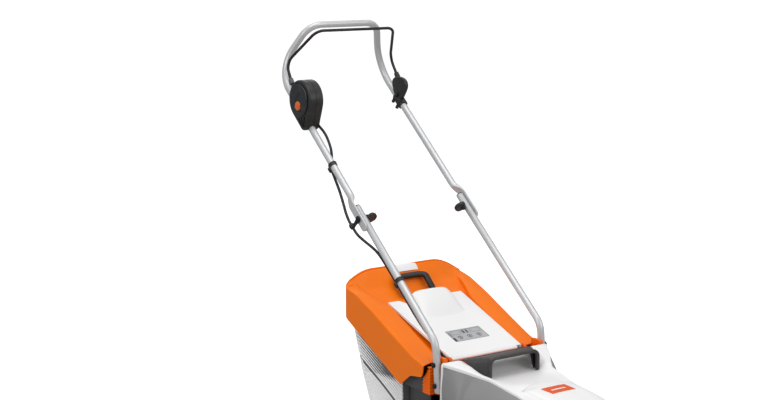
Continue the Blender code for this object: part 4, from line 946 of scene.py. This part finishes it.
def makeLid():
    # stations round the rim (side, corner, rear, corner, side); each is a section from the lower edge
    # over the crease and the shoulder, down a step and in to the middle line
    b = box
    side = np.concatenate([[b["front"], b["front"] + 0.003], np.linspace(-0.094, -0.06, 6),
        np.linspace(-0.052, b["rear"] - b["corner"], 34)])
    a = quarter(15)[1:]
    cx, cy = b["half"] - b["corner"], b["rear"] - b["corner"]
    rearX = np.linspace(cx, -cx, 31)[1:]
    half = np.concatenate([np.full(len(side), b["half"]), cx + b["corner"] * np.cos(a)])
    yy = np.concatenate([side, cy + b["corner"] * np.sin(a)])
    inX = np.concatenate([softTable(b["innerHalf"], side, 0.012), cx + b["innerCorner"] * np.cos(a)])
    inY = np.concatenate([side, cy + b["innerCorner"] * np.sin(a)])
    outX = np.concatenate([half, rearX[:-1], -half[::-1]])
    outY = np.concatenate([yy, np.full(len(rearX) - 1, b["rear"]), yy[::-1]])
    inX = np.concatenate([inX, rearX[:-1], -inX[::-1]])
    inY = np.concatenate([inY, np.full(len(rearX) - 1, cy + b["innerCorner"]), inY[::-1]])
    low, crease = softTable(b["edge"], outY, 0.004), softTable(b["crease"], outY)
    low[[0, -1]] = crease[[0, -1]] - 0.006
    swell = 0.0045 * (1 - easeIn((outY - 0.16) / 0.08))
    toward = np.stack([inX - outX, inY - outY], -1)
    long = np.linalg.norm(toward, axis=1)[:, None]
    toward /= long
    r, ridge = 0.0035, lidCrest(outX, outY)
    rows = [(outX, outY, low + (crease - r - low + ridge) * k) for k in (0.0, 0.12, 0.3, 0.5, 0.7, 0.88)]
    for t in quarter(5):
        shift = toward * r * (1 - np.cos(t))
        rows.append((outX + shift[:, 0], outY + shift[:, 1], crease + ridge - r + r * np.sin(t)))
    for t, lift in ((0.012, 0.55), (0.022, 0.95), (0.026, 1.0)):
        shift = toward * np.minimum(t, long * 0.6)
        x, y = outX + shift[:, 0], outY + shift[:, 1]
        rows.append((x, y, crease + lidCrest(x, y) + swell * lift))
    edgeZ = softTable(b["crease"], inY) + lidCrest(inX, inY) + swell * 0.6
    for back, drop in ((0.006, 0.0), (0.002, 0.0005), (0.0, 0.002)):
        rows.append((inX - toward[:, 0] * back, inY - toward[:, 1] * back, edgeZ - drop))
    spineY = np.minimum(inY, 0.196)
    for k in (0.02, 0.05, 0.12, 0.25, 0.45, 0.7, 1.0):
        x, y = inX * (1 - k), inY + (spineY - inY) * k
        hollow = 0.01 * np.exp(-((x / 0.06) ** 4 + ((y - 0.2) / 0.024) ** 4))
        floor = lidFloor(y) + lidCrest(x, y) - hollow
        rows.append((x, y, floor + (edgeZ - 0.002 - floor) * max(0, 1 - k / 0.04) ** 2))
    grid = np.stack([np.stack(r, -1) for r in rows], 1)
    sheet("grassBoxLid", grid, "orangeShell", "grass_box", wall=b["wall"], rim=0.0008, away=(0, 0.06, 0.2),
        weld=True, sharp=28, replaces="box_lid")


def rimHeight(y):
    # the lid's lower edge carried on as a straight line, with a small gap
    (y0, z0), (y1, z1) = box["edge"][-2:]
    return z0 + (y - y0) * (z1 - z0) / (y1 - y0) - 0.0012


def makeSlats():
    # louvres one under the other: each follows the rim's slope at its own depth, cut as a small wedge
    b = box
    depths = np.arange(0.004, 0.205, b["slatPitch"])
    depths = depths[(depths + b["slatTall"] < b["flatBand"][0]) | (depths > b["flatBand"][1] - 0.003)]
    a, r = quarter(13), 0.03
    y = np.linspace(0.018, 0.215, 30)
    out, down = np.array([(-0.002, 0.0), (0.0, 0.0003), (b["slatProud"], b["slatTall"] - 0.0014),
        (b["slatProud"] - 0.0004, b["slatTall"] - 0.0003), (b["slatProud"] - 0.0012, b["slatTall"]),
        (-0.002, b["slatTall"])]).T
    parts = []
    for depth in depths:
        share = np.concatenate([np.linspace(0, 1, 30), np.ones(len(a) + 9)])
        z = rimHeight(np.concatenate([y, 0.2255 + r * np.sin(a), np.full(9, 0.2555)])) - depth
        half, rear = table(b["tubHalf"], z), table(b["tubRear"], z)
        cornerY = rear - r
        sideY = 0.0145 + (cornerY - 0.0145) * share
        px = np.concatenate([half[:30], (half - r)[30:30 + len(a)] + r * np.cos(a),
            (half - r)[-9:] * np.linspace(1, 0, 11)[1:-1]])
        py = np.concatenate([sideY[:30], cornerY[30:30 + len(a)] + r * np.sin(a), rear[-9:]])
        keep = z - b["slatTall"] > 0.078
        line = np.stack([px, py], -1)
        ahead = np.gradient(line, axis=0)
        normal = np.stack([ahead[:, 1], -ahead[:, 0]], -1) / np.linalg.norm(ahead, axis=1)[:, None]
        line, normal, z = line[keep], normal[keep], z[keep]
        full = keep[-1]
        if len(line) < 6:
            continue
        if full:
            line = np.concatenate([line, line[::-1] * vec(-1, 1)])
            normal = np.concatenate([normal, normal[::-1] * vec(-1, 1)])
            z = np.concatenate([z, z[::-1]])
        groups = [(line, normal, z)]
        if not full:
            groups.append((line * vec(-1, 1), normal * vec(-1, 1), z))
        for l, n, h in groups:
            across = l[:, None] + n[:, None] * out[None, :, None]
            parts.append(capped(points3(across[..., 0], across[..., 1], h[:, None] - down)))
    joined("boxLouvres", parts, "whiteTubPaintedLight", "grass_box", sharp=25)


grip = {"half": 0.047, "flat": 0.034, "top": (0.214, 0.414), "foot": (0.174, 0.186),
    "strap": (0.017, 0.012, 0.0042)}


def makeBoxHandle():
    # a flat strap bent into an arch, wider at its feet
    (y, z), (footY, floorY) = grip["top"], grip["foot"]
    foot = float(lidFloor(vec(floorY))[0]) + 0.002
    half = [(grip["half"], footY, foot), (grip["half"], y, z), (grip["flat"], y + 0.01, z + 0.001)]
    path = roundedPath([(-a, b, c) for a, b, c in half] + half[::-1], (0.012, 0.01, 0.01, 0.012))
    bar("boxHandle", path, boxSection(*grip["strap"]), "blackPlastic", "grass_box", soft=0.001,
        replaces="box_handle")
    low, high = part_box("level_flap")
    x = np.linspace(low[0], high[0], 25)[None]
    y = 0.2362 + 0.02 * np.linspace(0, 1, 21)[:, None]
    y = y - 0.003 * (x / high[0]) ** 6 * (y > 0.246)
    grid = points3(x, y, lidFloor(y) + lidCrest(x, y) + 0.0042 - 0.0015 * (x / high[0]) ** 6)
    sheet("levelFlap", grid, "whiteShell", "level_flap", wall=0.0016, rim=0.0005, away=(0, 0.245, 0.3),
        replaces="level_flap")


makeLid()
makeSlats()
makeBoxHandle()
print("grass box made")


# hood
hood = {
    "front": -0.576, "rear": -0.1465, "middle": (0, -0.36, 0.1), "lidMiddle": (0, -0.42, 0.15),
    "wall": 0.003, "lip": 0.004,
    "edgeZ": [(-0.576, 0.16), (-0.55, 0.185), (-0.5, 0.21), (-0.45, 0.222), (-0.369, 0.233),
              (-0.304, 0.246), (-0.25, 0.256), (-0.222, 0.264), (-0.186, 0.276), (-0.14, 0.284)],
    "edgeHalf": [(-0.576, 0.06), (-0.565, 0.075), (-0.535, 0.084), (-0.45, 0.088), (-0.345, 0.089),
                 (-0.304, 0.093), (-0.25, 0.098), (-0.222, 0.116), (-0.186, 0.143), (-0.14, 0.166)],
    "centreZ": [(-0.576, 0.165), (-0.55, 0.2), (-0.5, 0.236), (-0.407, 0.248), (-0.34, 0.25),
                (-0.27, 0.247), (-0.217, 0.244), (-0.185, 0.247), (-0.154, 0.265), (-0.1465, 0.2655)],
    "flatHalf": [(-0.34, 0.0), (-0.28, 0.045), (-0.217, 0.072), (-0.14, 0.088)],
    "riseHalf": [(-0.34, 0.09), (-0.25, 0.098), (-0.217, 0.112), (-0.14, 0.113)],
    "sideHalf": [(-0.576, 0.066), (-0.55, 0.1), (-0.5, 0.14), (-0.42, 0.166), (-0.355, 0.172),
                 (-0.14, 0.169)],
    "sideLow": [(-0.215, 0.153), (-0.203, 0.186)],
    "lidHalf": 0.0715, "lidFront": -0.507, "lidBack": (-0.321, -0.346), "lidGap": 0.001,
}


def hoodTop(x, y):
    # level in the middle; towards the edge it rises or falls by an S curve behind, by a fifth power in front
    x, y = np.broadcast_arrays(np.abs(np.asarray(x, float)), np.asarray(y, float))
    flat, rise = softTable(hood["flatHalf"], y), softTable(hood["riseHalf"], y)
    behind = easeIn((x - flat) / (rise - flat))
    before = np.clip(x / rise, 0, 1) ** 5
    blend = easeIn((y + 0.355) / 0.03)
    share = before + (behind - before) * blend
    middle = softTable(hood["centreZ"], y, 0.006)
    return middle + (softTable(hood["edgeZ"], y, 0.006) - middle) * share


def lidBack(x):
    # the lid's rear line: a shallow bow between its corners
    back, corner = hood["lidBack"]
    return corner + (back - corner) * np.sqrt(np.clip(1 - (x / (hood["lidHalf"] * 1.04)) ** 2, 0, 1))


def makeHood():
    # a net whose lines bend round the lid's opening, the faces inside the opening left out
    h = hood
    corner = h["lidBack"][1]
    front = h["front"] + (h["lidFront"] - h["front"]) * np.linspace(0, 1, 13) ** 1.4
    y0 = np.concatenate([front, np.linspace(h["lidFront"], corner, 22)[1:],
        np.linspace(corner, h["rear"], 41)[1:]])
    cut = (12, 33)
    inner = np.linspace(-1, 1, 37)
    outer = np.linspace(0, 1, 9)[1:]
    half = softTable(h["edgeHalf"], y0, 0.004)[:, None]
    innerHalf = np.minimum(h["lidHalf"], 0.83 * half)
    x = np.concatenate([-(innerHalf + (half - innerHalf) * outer[::-1]), innerHalf * inner,
        innerHalf + (half - innerHalf) * outer], 1)
    y = np.repeat(y0[:, None], x.shape[1], 1)
    arc = lidBack(np.clip(np.abs(x), 0, h["lidHalf"])) - corner
    t = np.where(y <= corner, np.clip((y - h["lidFront"]) / (corner - h["lidFront"]), 0, 1),
        np.clip((-0.25 - y) / (-0.25 - corner), 0, 1))
    inside = np.clip((h["lidHalf"] + 0.004 - np.abs(x)) / 0.004, 0, 1)
    y = y + arc * t * inside
    z = hoodTop(x, y)
    grid = rolledSides(np.stack([x, y, z], -1), h["lip"] * 0.6, h["lip"], 0.0085)
    turn = quarter(5)[1:]
    nose = [grid[0] + vec(0, -0.003 * math.sin(a), -0.004 * (1 - math.cos(a))) for a in turn[::-1]]
    nose = [grid[0] + vec(0, -0.0035, -0.01)] + nose
    tuck = np.array([0.0, 0.25, 0.5, 0.75, 1.0])[:, None] * 0.0042
    for row, t in zip(nose, tuck[::-1]):
        row[[0, 1, -2, -1], 2] += t * vec(1.6, 0.8, 0.8, 1.6)
    grid = np.concatenate([np.array(nose), grid])
    rows, cols = grid.shape[:2]
    r, c = np.meshgrid(np.arange(rows - 1), np.arange(cols - 1), indexing="ij")
    first = len(nose)
    left = 5 + len(outer)
    hole = ((r >= first + cut[0]) & (r < first + cut[1]) & (c >= left) & (c < left + 36)).ravel()
    faces = gridFaces(rows, cols)[~hole].tolist()
    piece = makePiece("hoodShell", grid.reshape(-1, 3), faces, "whiteShell", "chassis", away=hood["middle"],
        replaces="hood_cover")
    loose = bmesh.new()
    loose.from_mesh(piece.data)
    bmesh.ops.delete(loose, geom=[v for v in loose.verts if not v.link_faces], context="VERTS")
    loose.to_mesh(piece.data)
    loose.free()
    thicken(piece, h["wall"], 0.0008)


def makeSidePanels():
    # a sheet from under the hood's edge out to the deck: steep above, flaring by a power of 0.8 below
    h = hood
    y = np.concatenate([np.linspace(-0.577, -0.215, 61), np.linspace(-0.213, h["rear"], 16)])[:, None]
    t = np.linspace(0, 1, 25)[None]
    top = softTable(h["edgeZ"], y, 0.006) - 0.004
    half = softTable(h["edgeHalf"], y, 0.004) - 0.001
    foot, low = softTable(h["sideHalf"], y, 0.006), table(h["sideLow"], y)
    top = np.maximum(top, low + 0.004)
    bulge = 0.0035 * np.sin(t * np.pi) * easeIn((y + 0.56) / 0.1)
    for sign, label in ((-1, "right"), (1, "left")):
        x = half + (foot - half) * t ** 0.8 + bulge
        grid = points3(sign * x, y, top + (low - top) * t)
        sheet("sidePanel_" + label, grid, "greySidePanel", "chassis", wall=0.0025, rim=0.0008,
            away=hood["middle"], replaces="side_panel_" + label)


badge = {"half": 0.036, "front": -0.407, "deep": 0.043, "bow": 0.0015, "barHalf": 0.021, "barFront": -0.3885,
    "barDeep": 0.005}


def makeBatteryLid():
    # the hood's own height within the lid's outline, with its edge turned down a little
    h = hood
    half, gap = h["lidHalf"] - h["lidGap"], h["lidGap"]
    edge = np.array([-1.0, *np.linspace(-1, 1, 41), 1.0])
    x = np.broadcast_to(half * edge, (36, len(edge)))
    back = lidBack(half * edge) - gap - 0.0005
    front = h["lidFront"] + 0.0062
    t = np.concatenate([[0.0], np.linspace(0, 1, 34), [1.0]])[:, None]
    y = front + (back[None] - front) * t
    z = np.array(hoodTop(x, y)) + 0.0002
    z[:, [0, -1]] -= 0.0045
    z[[0, -1]] -= 0.0045
    z[[0, 0, -1, -1], [0, -1, 0, -1]] += 0.0045
    grid = np.stack([x, y, z], -1)
    grid[:, [1, -2], 2] -= 0.0004
    sheet("batteryLidShell", grid, "whiteShell", "battery_lid", wall=0.0026, rim=0.0007, away=hood["lidMiddle"],
        sharp=45, replaces="battery_lid")
    low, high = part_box("lid_pin")
    axis = ((low[1] + high[1]) / 2, (low[2] + high[2]) / 2)
    turned("lidKnuckle", [(0.0023, 0.0), (0.0038, 0.0), (0.0042, 0.0005), (0.0042, 0.1045), (0.0038, 0.105),
        (0.0023, 0.105)], (-0.0525, *axis), (1, 0, 0), "whiteShell", "battery_lid", 24)
    columns, rows = np.linspace(-1, 1, 25), np.linspace(0, 1, 13)[:, None]
    bow = badge["bow"] * (1 - columns ** 2)
    bx = (badge["half"] + 0.001 * rows) * columns
    by = badge["front"] + badge["deep"] * rows + bow
    sheet("badgePlate", points3(bx, by, hoodTop(bx, by) + 0.0009), "badgeOrange", "battery_lid", wall=0.001,
        rim=0.0003, away=hood["lidMiddle"])
    barX, barY = badge["barHalf"] * columns, badge["barFront"] + badge["barDeep"] * rows + bow
    sheet("badgeBar", points3(barX, barY, hoodTop(barX, barY) + 0.0013), "whiteShell", "battery_lid",
        wall=0.0008, rim=0.0002, away=hood["lidMiddle"])


carry = {"front": -0.2185, "long": 0.0675, "half": (0.078, 0.031), "top": (0.2985, 0.0165),
    "rim": (0.01, 0.0088, 0.003)}


def archRow(half, y, foot, top, corner, count=9):
    # up one side, a round corner, across, a round corner and down the other side
    corners = [(-half, y, foot), (-half, y, top), (half, y, top), (half, y, foot)]
    return roundedPath(corners, (corner, corner), math.radians(90 / count))


def carryShape(t):
    # half width by an S curve, height by a square, at a share t of the handle's length from its front
    (half, wider), (top, lower) = carry["half"], carry["top"]
    return half + wider * easeIn(t) ** 0.85, top - lower * t * t


def makeCarryHandle():
    # arches one behind the other, narrow in front and wide behind, the front one with a thick rim
    rows = []
    for t in np.linspace(0, 1, 19):
        y = carry["front"] + carry["long"] * t
        half, top = carryShape(t)
        foot = float(hoodTop(half, y)) + 0.001
        top = max(top, foot + 0.0045)
        corner = min(0.018, (top - foot) * 0.72)
        rows.append(resample(archRow(half, y, foot, top, corner), 61))
    grid = np.array(rows)
    sheet("carryHandleShell", grid, "darkGrip", "chassis", wall=0.004, rim=0.0014, away=(0, -0.185, 0.262),
        replaces="carry_handle")
    foot = float(hoodTop(0.0755, -0.22)) + 0.0005
    rim = archRow(0.0755, -0.22, foot, 0.2958, 0.0165, 10)
    bar("carryHandleRim", rim, boxSection(*carry["rim"]), "darkGrip", "chassis", first=(0, 1, 0))
    ribs = []
    for side in (-1, 1):
        for k in range(4):
            y = -0.207 + 0.0125 * k
            half, top = carryShape((y - carry["front"]) / carry["long"]) - vec(0.0035, 0.003)
            foot = float(hoodTop(half, y)) + 0.0015
            plan = np.array([(side * half, foot), (side * half, top - 0.007), (side * (half - 0.007), top),
                (side * (half - 0.02), top), (side * (half - 0.011), top - 0.011),
                (side * (half - 0.0055), foot)])
            ribs.append(slabPart(plan if side < 0 else plan[::-1], y - 0.0009, y + 0.0009, 0.0004, "y"))
    joined("carryHandleRibs", ribs, "blackPlastic", "chassis")


beam = {
    # low and high corners of the middle block, then of the left end block
    "middle": ((-0.1295, -0.144, 0.242), (0.1295, -0.1165, 0.2705)),
    "endX": (0.13, 0.1478), "endY": (-0.144, -0.112), "endZ": (0.238, 0.266), "edge": 0.003,
}
fins = {"x": (0.149, 0.1796), "back": -0.1135, "first": 0.1985, "pitch": 0.0082, "count": 9, "thick": 0.0028,
    "stepAt": 0.231}


def makeBeamAndFins():
    # the orange beam the hood ends on, and level fins beside the feet of the handle
    parts = [blockPart(*beam["middle"], beam["edge"])]
    for side in (-1, 1):
        ends = sorted(side * x for x in beam["endX"])
        parts.append(blockPart(*zip(ends, beam["endY"], beam["endZ"]), beam["edge"]))
    joined("rearBeamCover", parts, "orangeDeck", "chassis")
    f, plates = fins, []
    for side in (-1, 1):
        ends = sorted(side * x for x in f["x"])
        for z in f["first"] + f["pitch"] * np.arange(f["count"]):
            reach = -0.0818 if z < f["stepAt"] else -0.0988 - (z - 0.24) * 0.2
            plates.append(blockPart((ends[0], f["back"], z), (ends[1], reach, z + f["thick"]), 0.001))
    joined("footFins", plates, "orangeDeck", "chassis")
    bands = []
    for side in (-1, 1):
        path = roundedPath([(side * 0.158, -0.147, 0.281), (side * 0.166, -0.147, 0.28),
            (side * 0.1685, -0.147, 0.188)], (0.006,))
        bands.append(capped(sweep(barEnds(path, 0.001), boxSection(0.0062, 0.005, 0.0018, 4), (0, 1, 0))))
    joined("hoodRearBands", bands, "whiteShell", "chassis")


makeHood()
makeSidePanels()
makeBatteryLid()
makeCarryHandle()
makeBeamAndFins()
print("hood made")


# deck skins and wheels
deck = {
    "bladeY": -0.355, "bowlR": 0.18, "low": 0.0215, "top": 0.152,
    "noseTop": [(-0.5965, 0.084), (-0.586, 0.099), (-0.57, 0.119), (-0.5, 0.136), (-0.35, 0.1415)],
    "noseHalf": 0.1262, "noseLow": 0.0295, "shoulder": 0.0115, "roof": 0.1495,
}
wheels = {
    # radius, width, y of the centre, outer face of the hub
    "rear": (0.09, 0.034, -0.109, 0.198), "front": (0.07, 0.03, -0.524, 0.19),
    "ribs": 10, "tread": {"rear": 40, "front": 32}, "treadDepth": 0.0014,
}


def makeDeckSkins():
    # the round bowl: a wall with a rolled lower lip and a quarter-round shoulder
    r = deck["bowlR"]
    a, s = quarter(8), deck["shoulder"]
    shoulder = np.stack([r + 0.002 - s + s * np.cos(a), deck["top"] - s + s * np.sin(a)], -1)
    profile = np.concatenate([[(r - 0.001, deck["low"] + 0.001), (r + 0.0015, deck["low"]),
        (r + 0.004, deck["low"] + 0.0015), (r + 0.004, deck["low"] + 0.0075), (r + 0.0022, deck["low"] + 0.01)],
        shoulder, [(0.06, deck["top"]), (0.06, deck["roof"]), (r - 0.01, deck["roof"])]])
    a = ring(96)
    grid = np.stack([profile[:, None, 0] * np.cos(a)[None],
        deck["bladeY"] + profile[:, None, 0] * np.sin(a)[None],
        np.broadcast_to(profile[:, None, 1], (len(profile), 96))], -1)
    makePiece("deckBowl", *looped(grid), "orangeDeck", "chassis")
    # the nose: its top line carried across, rolled down to upright sides
    y = np.concatenate([[-0.5964], np.linspace(-0.5962, -0.4, 48)])
    top = softTable(deck["noseTop"], y, 0.006)
    top[0] = deck["noseLow"]
    a = quarter(7)
    roll = np.minimum(0.01, (top - deck["noseLow"]) * 0.5)
    half = deck["noseHalf"] - 0.012 * (1 - easeIn((y + 0.6) / 0.02))
    cols = [(half, np.full_like(y, deck["noseLow"]))]
    cols += [(half - roll * (1 - math.cos(t)), top - roll * (1 - math.sin(t))) for t in a]
    cols += [(half * k, top + 0.003 * (1 - k * k)) for k in (0.75, 0.5, 0.25)]
    cols.append((half * 0, top + 0.003))
    cols += [(-x, z) for x, z in cols[:-1][::-1]]
    grid = np.stack([np.stack([x, y, z], -1) for x, z in cols], 1)
    sheet("deckNose", grid, "orangeDeck", "chassis", wall=0.0022, rim=0.0006, away=(0, -0.48, 0.04), weld=True,
        sharp=35)


def tyrePart(radius, width, centre, side, lugs, depth):
    # a rounded cross section turned once round, lower where a slanted square wave cuts the tread
    rim, half = radius - 0.018, width / 2 - 0.001
    a = quarter(6)
    r, edge = 0.0085, np.concatenate([[(rim, half)], [(rim + 0.003, half + 0.0004)]])
    arc = np.stack([radius - r + r * np.sin(a), half - r + r * np.cos(a)], -1)
    flat = np.stack([np.full(9, radius), np.linspace(half - r, -half + r, 11)[1:-1]], -1)
    section = np.concatenate([edge, arc, flat, arc[::-1] * vec(1, -1), edge[::-1] * vec(1, -1)])
    turn = ring(lugs * 8)[:, None]
    across = section[None, :, 1] / half
    wave = (turn * lugs / (2 * np.pi) + 0.55 * np.abs(across)) % 1.0
    cut = ((wave > 0.62) | (np.abs(across) < 0.1)) & (section[None, :, 0] > radius - 0.004)
    reach = section[None, :, 0] - depth * cut
    x = centre[0] + side * np.broadcast_to(section[None, :, 1], reach.shape)
    return looped(np.stack([x, centre[1] + reach * np.cos(turn), centre[2] + reach * np.sin(turn)], -1))


def makeWheels():
    # a tyre, a dished disc with radial ribs, and a cap on its hub
    for name in ("rear", "front"):
        radius, width, y, face = wheels[name]
        half, rim = width / 2, radius - 0.0185
        for side, label in ((-1, "right"), (1, "left")):
            hubX = side * (face - half - 0.001)
            body = name + "_wheel_" + label
            centre = (hubX, y, radius)
            joined(name + "Tyre_" + label, [tyrePart(radius, width, centre, side, wheels["tread"][name],
                wheels["treadDepth"])], "tyreRubber", body, sharp=35, replaces=name + "_tyre_" + label)
            disc = [(0.0055, half - 0.004), (0.0165, half - 0.004), (0.019, 0.008), (rim - 0.011, 0.005),
                (rim - 0.0075, 0.007), (rim - 0.005, half - 0.0016), (rim - 0.001, half - 0.0012),
                (rim + 0.0004, half - 0.003), (rim + 0.0004, -half + 0.003), (rim - 0.003, -half + 0.002),
                (rim - 0.0055, -half + 0.003), (rim - 0.0105, 0.0015), (0.015, 0.0012), (0.0125, -half),
                (0.0055, -half)]
            parts = [turnedPart(disc, centre, (side, 0, 0), 72)]
            cap = [(0.004, half - 0.006), (0.0155, half - 0.006), (0.0155, half + 0.0002),
                (0.0138, half + 0.0009), (0.008, half + 0.001), (0.0075, half + 0.0004), (0.001, half + 0.0004)]
            rib, faces = slabPart([(0.017, -0.0022), (rim - 0.006, -0.0016), (rim - 0.006, 0.0016),
                (0.017, 0.0022)], 0.004, 0.011, 0.001)
            for a in ring(wheels["ribs"]):
                c, s = math.cos(a), math.sin(a)
                parts.append((np.stack([hubX + side * rib[:, 0], y + rib[:, 1] * c - rib[:, 2] * s,
                    radius + rib[:, 1] * s + rib[:, 2] * c], -1), faces))
            joined(name + "WheelDisc_" + label, parts, "whiteTubPaintedLight", body, sharp=30,
                replaces=name + "_wheel_" + label)
            joined(name + "WheelCap_" + label, [turnedPart(cap, centre, (side, 0, 0), 40)], "charcoalPlastic",
                body, sharp=30)


makeDeckSkins()
makeWheels()
print("deck and wheels made")


# CAD parts that keep their own shape
kept = {
    "orangeDeck": ["deck_housing"],
    # the box body's grey stands in for the shade between the louvres: painted shade
    "greyWallAndPaintedGapShade": ["box_body"],
    "charcoalPlastic": ["box_front_frame", "blade_carrier", "battery_bay"],
    "bladeSteel": ["blade"],
    "zincSteel": ["blade_bolt", "motor_rotor", "front_axle", "rear_axle", "flap_hinge_rod", "flap_spring",
                  "lid_pin"],
    "darkGrip": ["battery_pack"],
    "blackPlastic": ["front_height_lever", "rear_height_lever"],
    "blackedBolt": ["foot_bolt_" + end for end in ("upper_left", "upper_right", "lower_left", "lower_right")],
}


def dressParts():
    # every visible part that has no finish above is charcoal plastic
    finishOf = {part: finish for finish, parts in kept.items() for part in parts}
    for name, part in nodes.items():
        if not part.hide_render:
            part.data.materials.clear()
            part.data.materials.append(bpy.data.materials[finishOf.get(name, "charcoalPlastic")])


dressParts()


# floor, light and camera
studio = {
    "camera": (-2.34, -3.0295, 1.2978), "turn": -35.0, "tilt": -9.6, "lens": 70.56, "sensor": 36.0,
    "ambient": (0.24, 0.88), "glow": 0.5,
    # name: place, aimed at, size, watts, colour
    "lights": {
        "overhead": ((-0.3, -0.5, 3.4), (0, 0, 0.4), 2.6, 25, (1.0, 1.0, 1.0)),
        "frontRight": ((1.6, -3.2, 2.2), (0, 0, 0.5), 2.0, 22, (1.0, 0.99, 0.98)),
        "nearSide": ((-3.0, -0.6, 1.7), (0, 0, 0.5), 1.6, 16, (0.98, 0.99, 1.0)),
        "behind": ((1.2, 3.0, 2.4), (0, 0, 0.6), 2.0, 14, (1.0, 1.0, 1.0)),
    },
}


def makeFloor():
    # a level floor that curves up far behind: heights follow a quarter circle
    reach = np.concatenate([np.linspace(-8, 8, 3), 8 + 6 * np.sin(quarter(16))[1:], [14]])
    height = np.concatenate([np.zeros(3), 6 * (1 - np.cos(quarter(16)))[1:], [12]])
    turn = math.radians(studio["turn"])
    ahead, right = vec(-math.sin(turn), math.cos(turn), 0), vec(math.cos(turn), math.sin(turn), 0)
    across = np.linspace(-16, 16, 3)
    grid = (reach[:, None, None] * ahead + across[None, :, None] * right + height[:, None, None] * vec(0, 0, 1))
    mesh = bpy.data.meshes.new("floor")
    mesh.from_pydata((grid.reshape(-1, 3) - vec(0, 0, 0.0002)).tolist(), [],
        gridFaces(*grid.shape[:2]).tolist())
    mesh.shade_smooth()
    mat = bpy.data.materials.new("paleFloor")
    mat.use_nodes = True
    tree = mat.node_tree
    shader = tree.nodes["Principled BSDF"]
    seen = addNode(tree, "LightPath").outputs["Is Camera Ray"]
    shade = addNode(tree, "Mix", {"Factor": seen, 6: (0.45, 0.45, 0.45, 1), 7: (0.92, 0.92, 0.92, 1)},
        data_type="RGBA")
    tree.links.new(shade.outputs[2], shader.inputs["Base Color"])
    shader.inputs["Roughness"].default_value = 0.9
    shader.inputs["Emission Color"].default_value = (1, 1, 1, 1)
    glow = addNode(tree, "Math", {0: seen, 1: studio["glow"]}, operation="MULTIPLY")
    tree.links.new(glow.outputs[0], shader.inputs["Emission Strength"])
    mesh.materials.append(mat)
    floor = bpy.data.objects.new("floor", mesh)
    collection.objects.link(floor)


def aim(obj, place, target):
    # turns an object at place so that its local -z looks at the target
    obj.location = place
    away = vec(*place) - vec(*target)
    obj.rotation_euler = (math.acos(away[2] / np.linalg.norm(away)), 0, math.atan2(away[0], -away[1]))


def makeLights():
    for name, (place, target, size, watts, colour) in studio["lights"].items():
        lamp = bpy.data.lights.new(name, "AREA")
        lamp.shape = "DISK"
        lamp.size = size
        lamp.energy = watts
        lamp.color = colour
        holder = bpy.data.objects.new(name, lamp)
        collection.objects.link(holder)
        aim(holder, place, target)
    world = bpy.data.worlds.new("studio")
    world.use_nodes = True      # dim at the horizon, bright overhead
    back = world.node_tree.nodes["Background"]
    back.inputs["Color"].default_value = (1, 1, 1, 1)
    height = addNode(world.node_tree, "SeparateXYZ", {0: addNode(world.node_tree,
        "TexCoord").outputs["Generated"]})
    sky = addNode(world.node_tree, "MapRange", {"Value": height.outputs["Z"], "From Min": -0.1, "From Max": 0.9,
        "To Min": studio["ambient"][0], "To Max": studio["ambient"][1]})
    world.node_tree.links.new(sky.outputs[0], back.inputs["Strength"])
    bpy.context.scene.world = world
    bpy.context.scene.view_settings.view_transform = "Standard"


def makeCamera():
    lens = bpy.data.cameras.new("camera")
    lens.lens = studio["lens"]
    lens.sensor_width = studio["sensor"]
    camera = bpy.data.objects.new("camera", lens)
    camera.location = studio["camera"]
    camera.rotation_euler = (math.radians(90 + studio["tilt"]), 0, math.radians(studio["turn"]))
    collection.objects.link(camera)
    bpy.context.scene.camera = camera


makeFloor()
makeLights()
makeCamera()
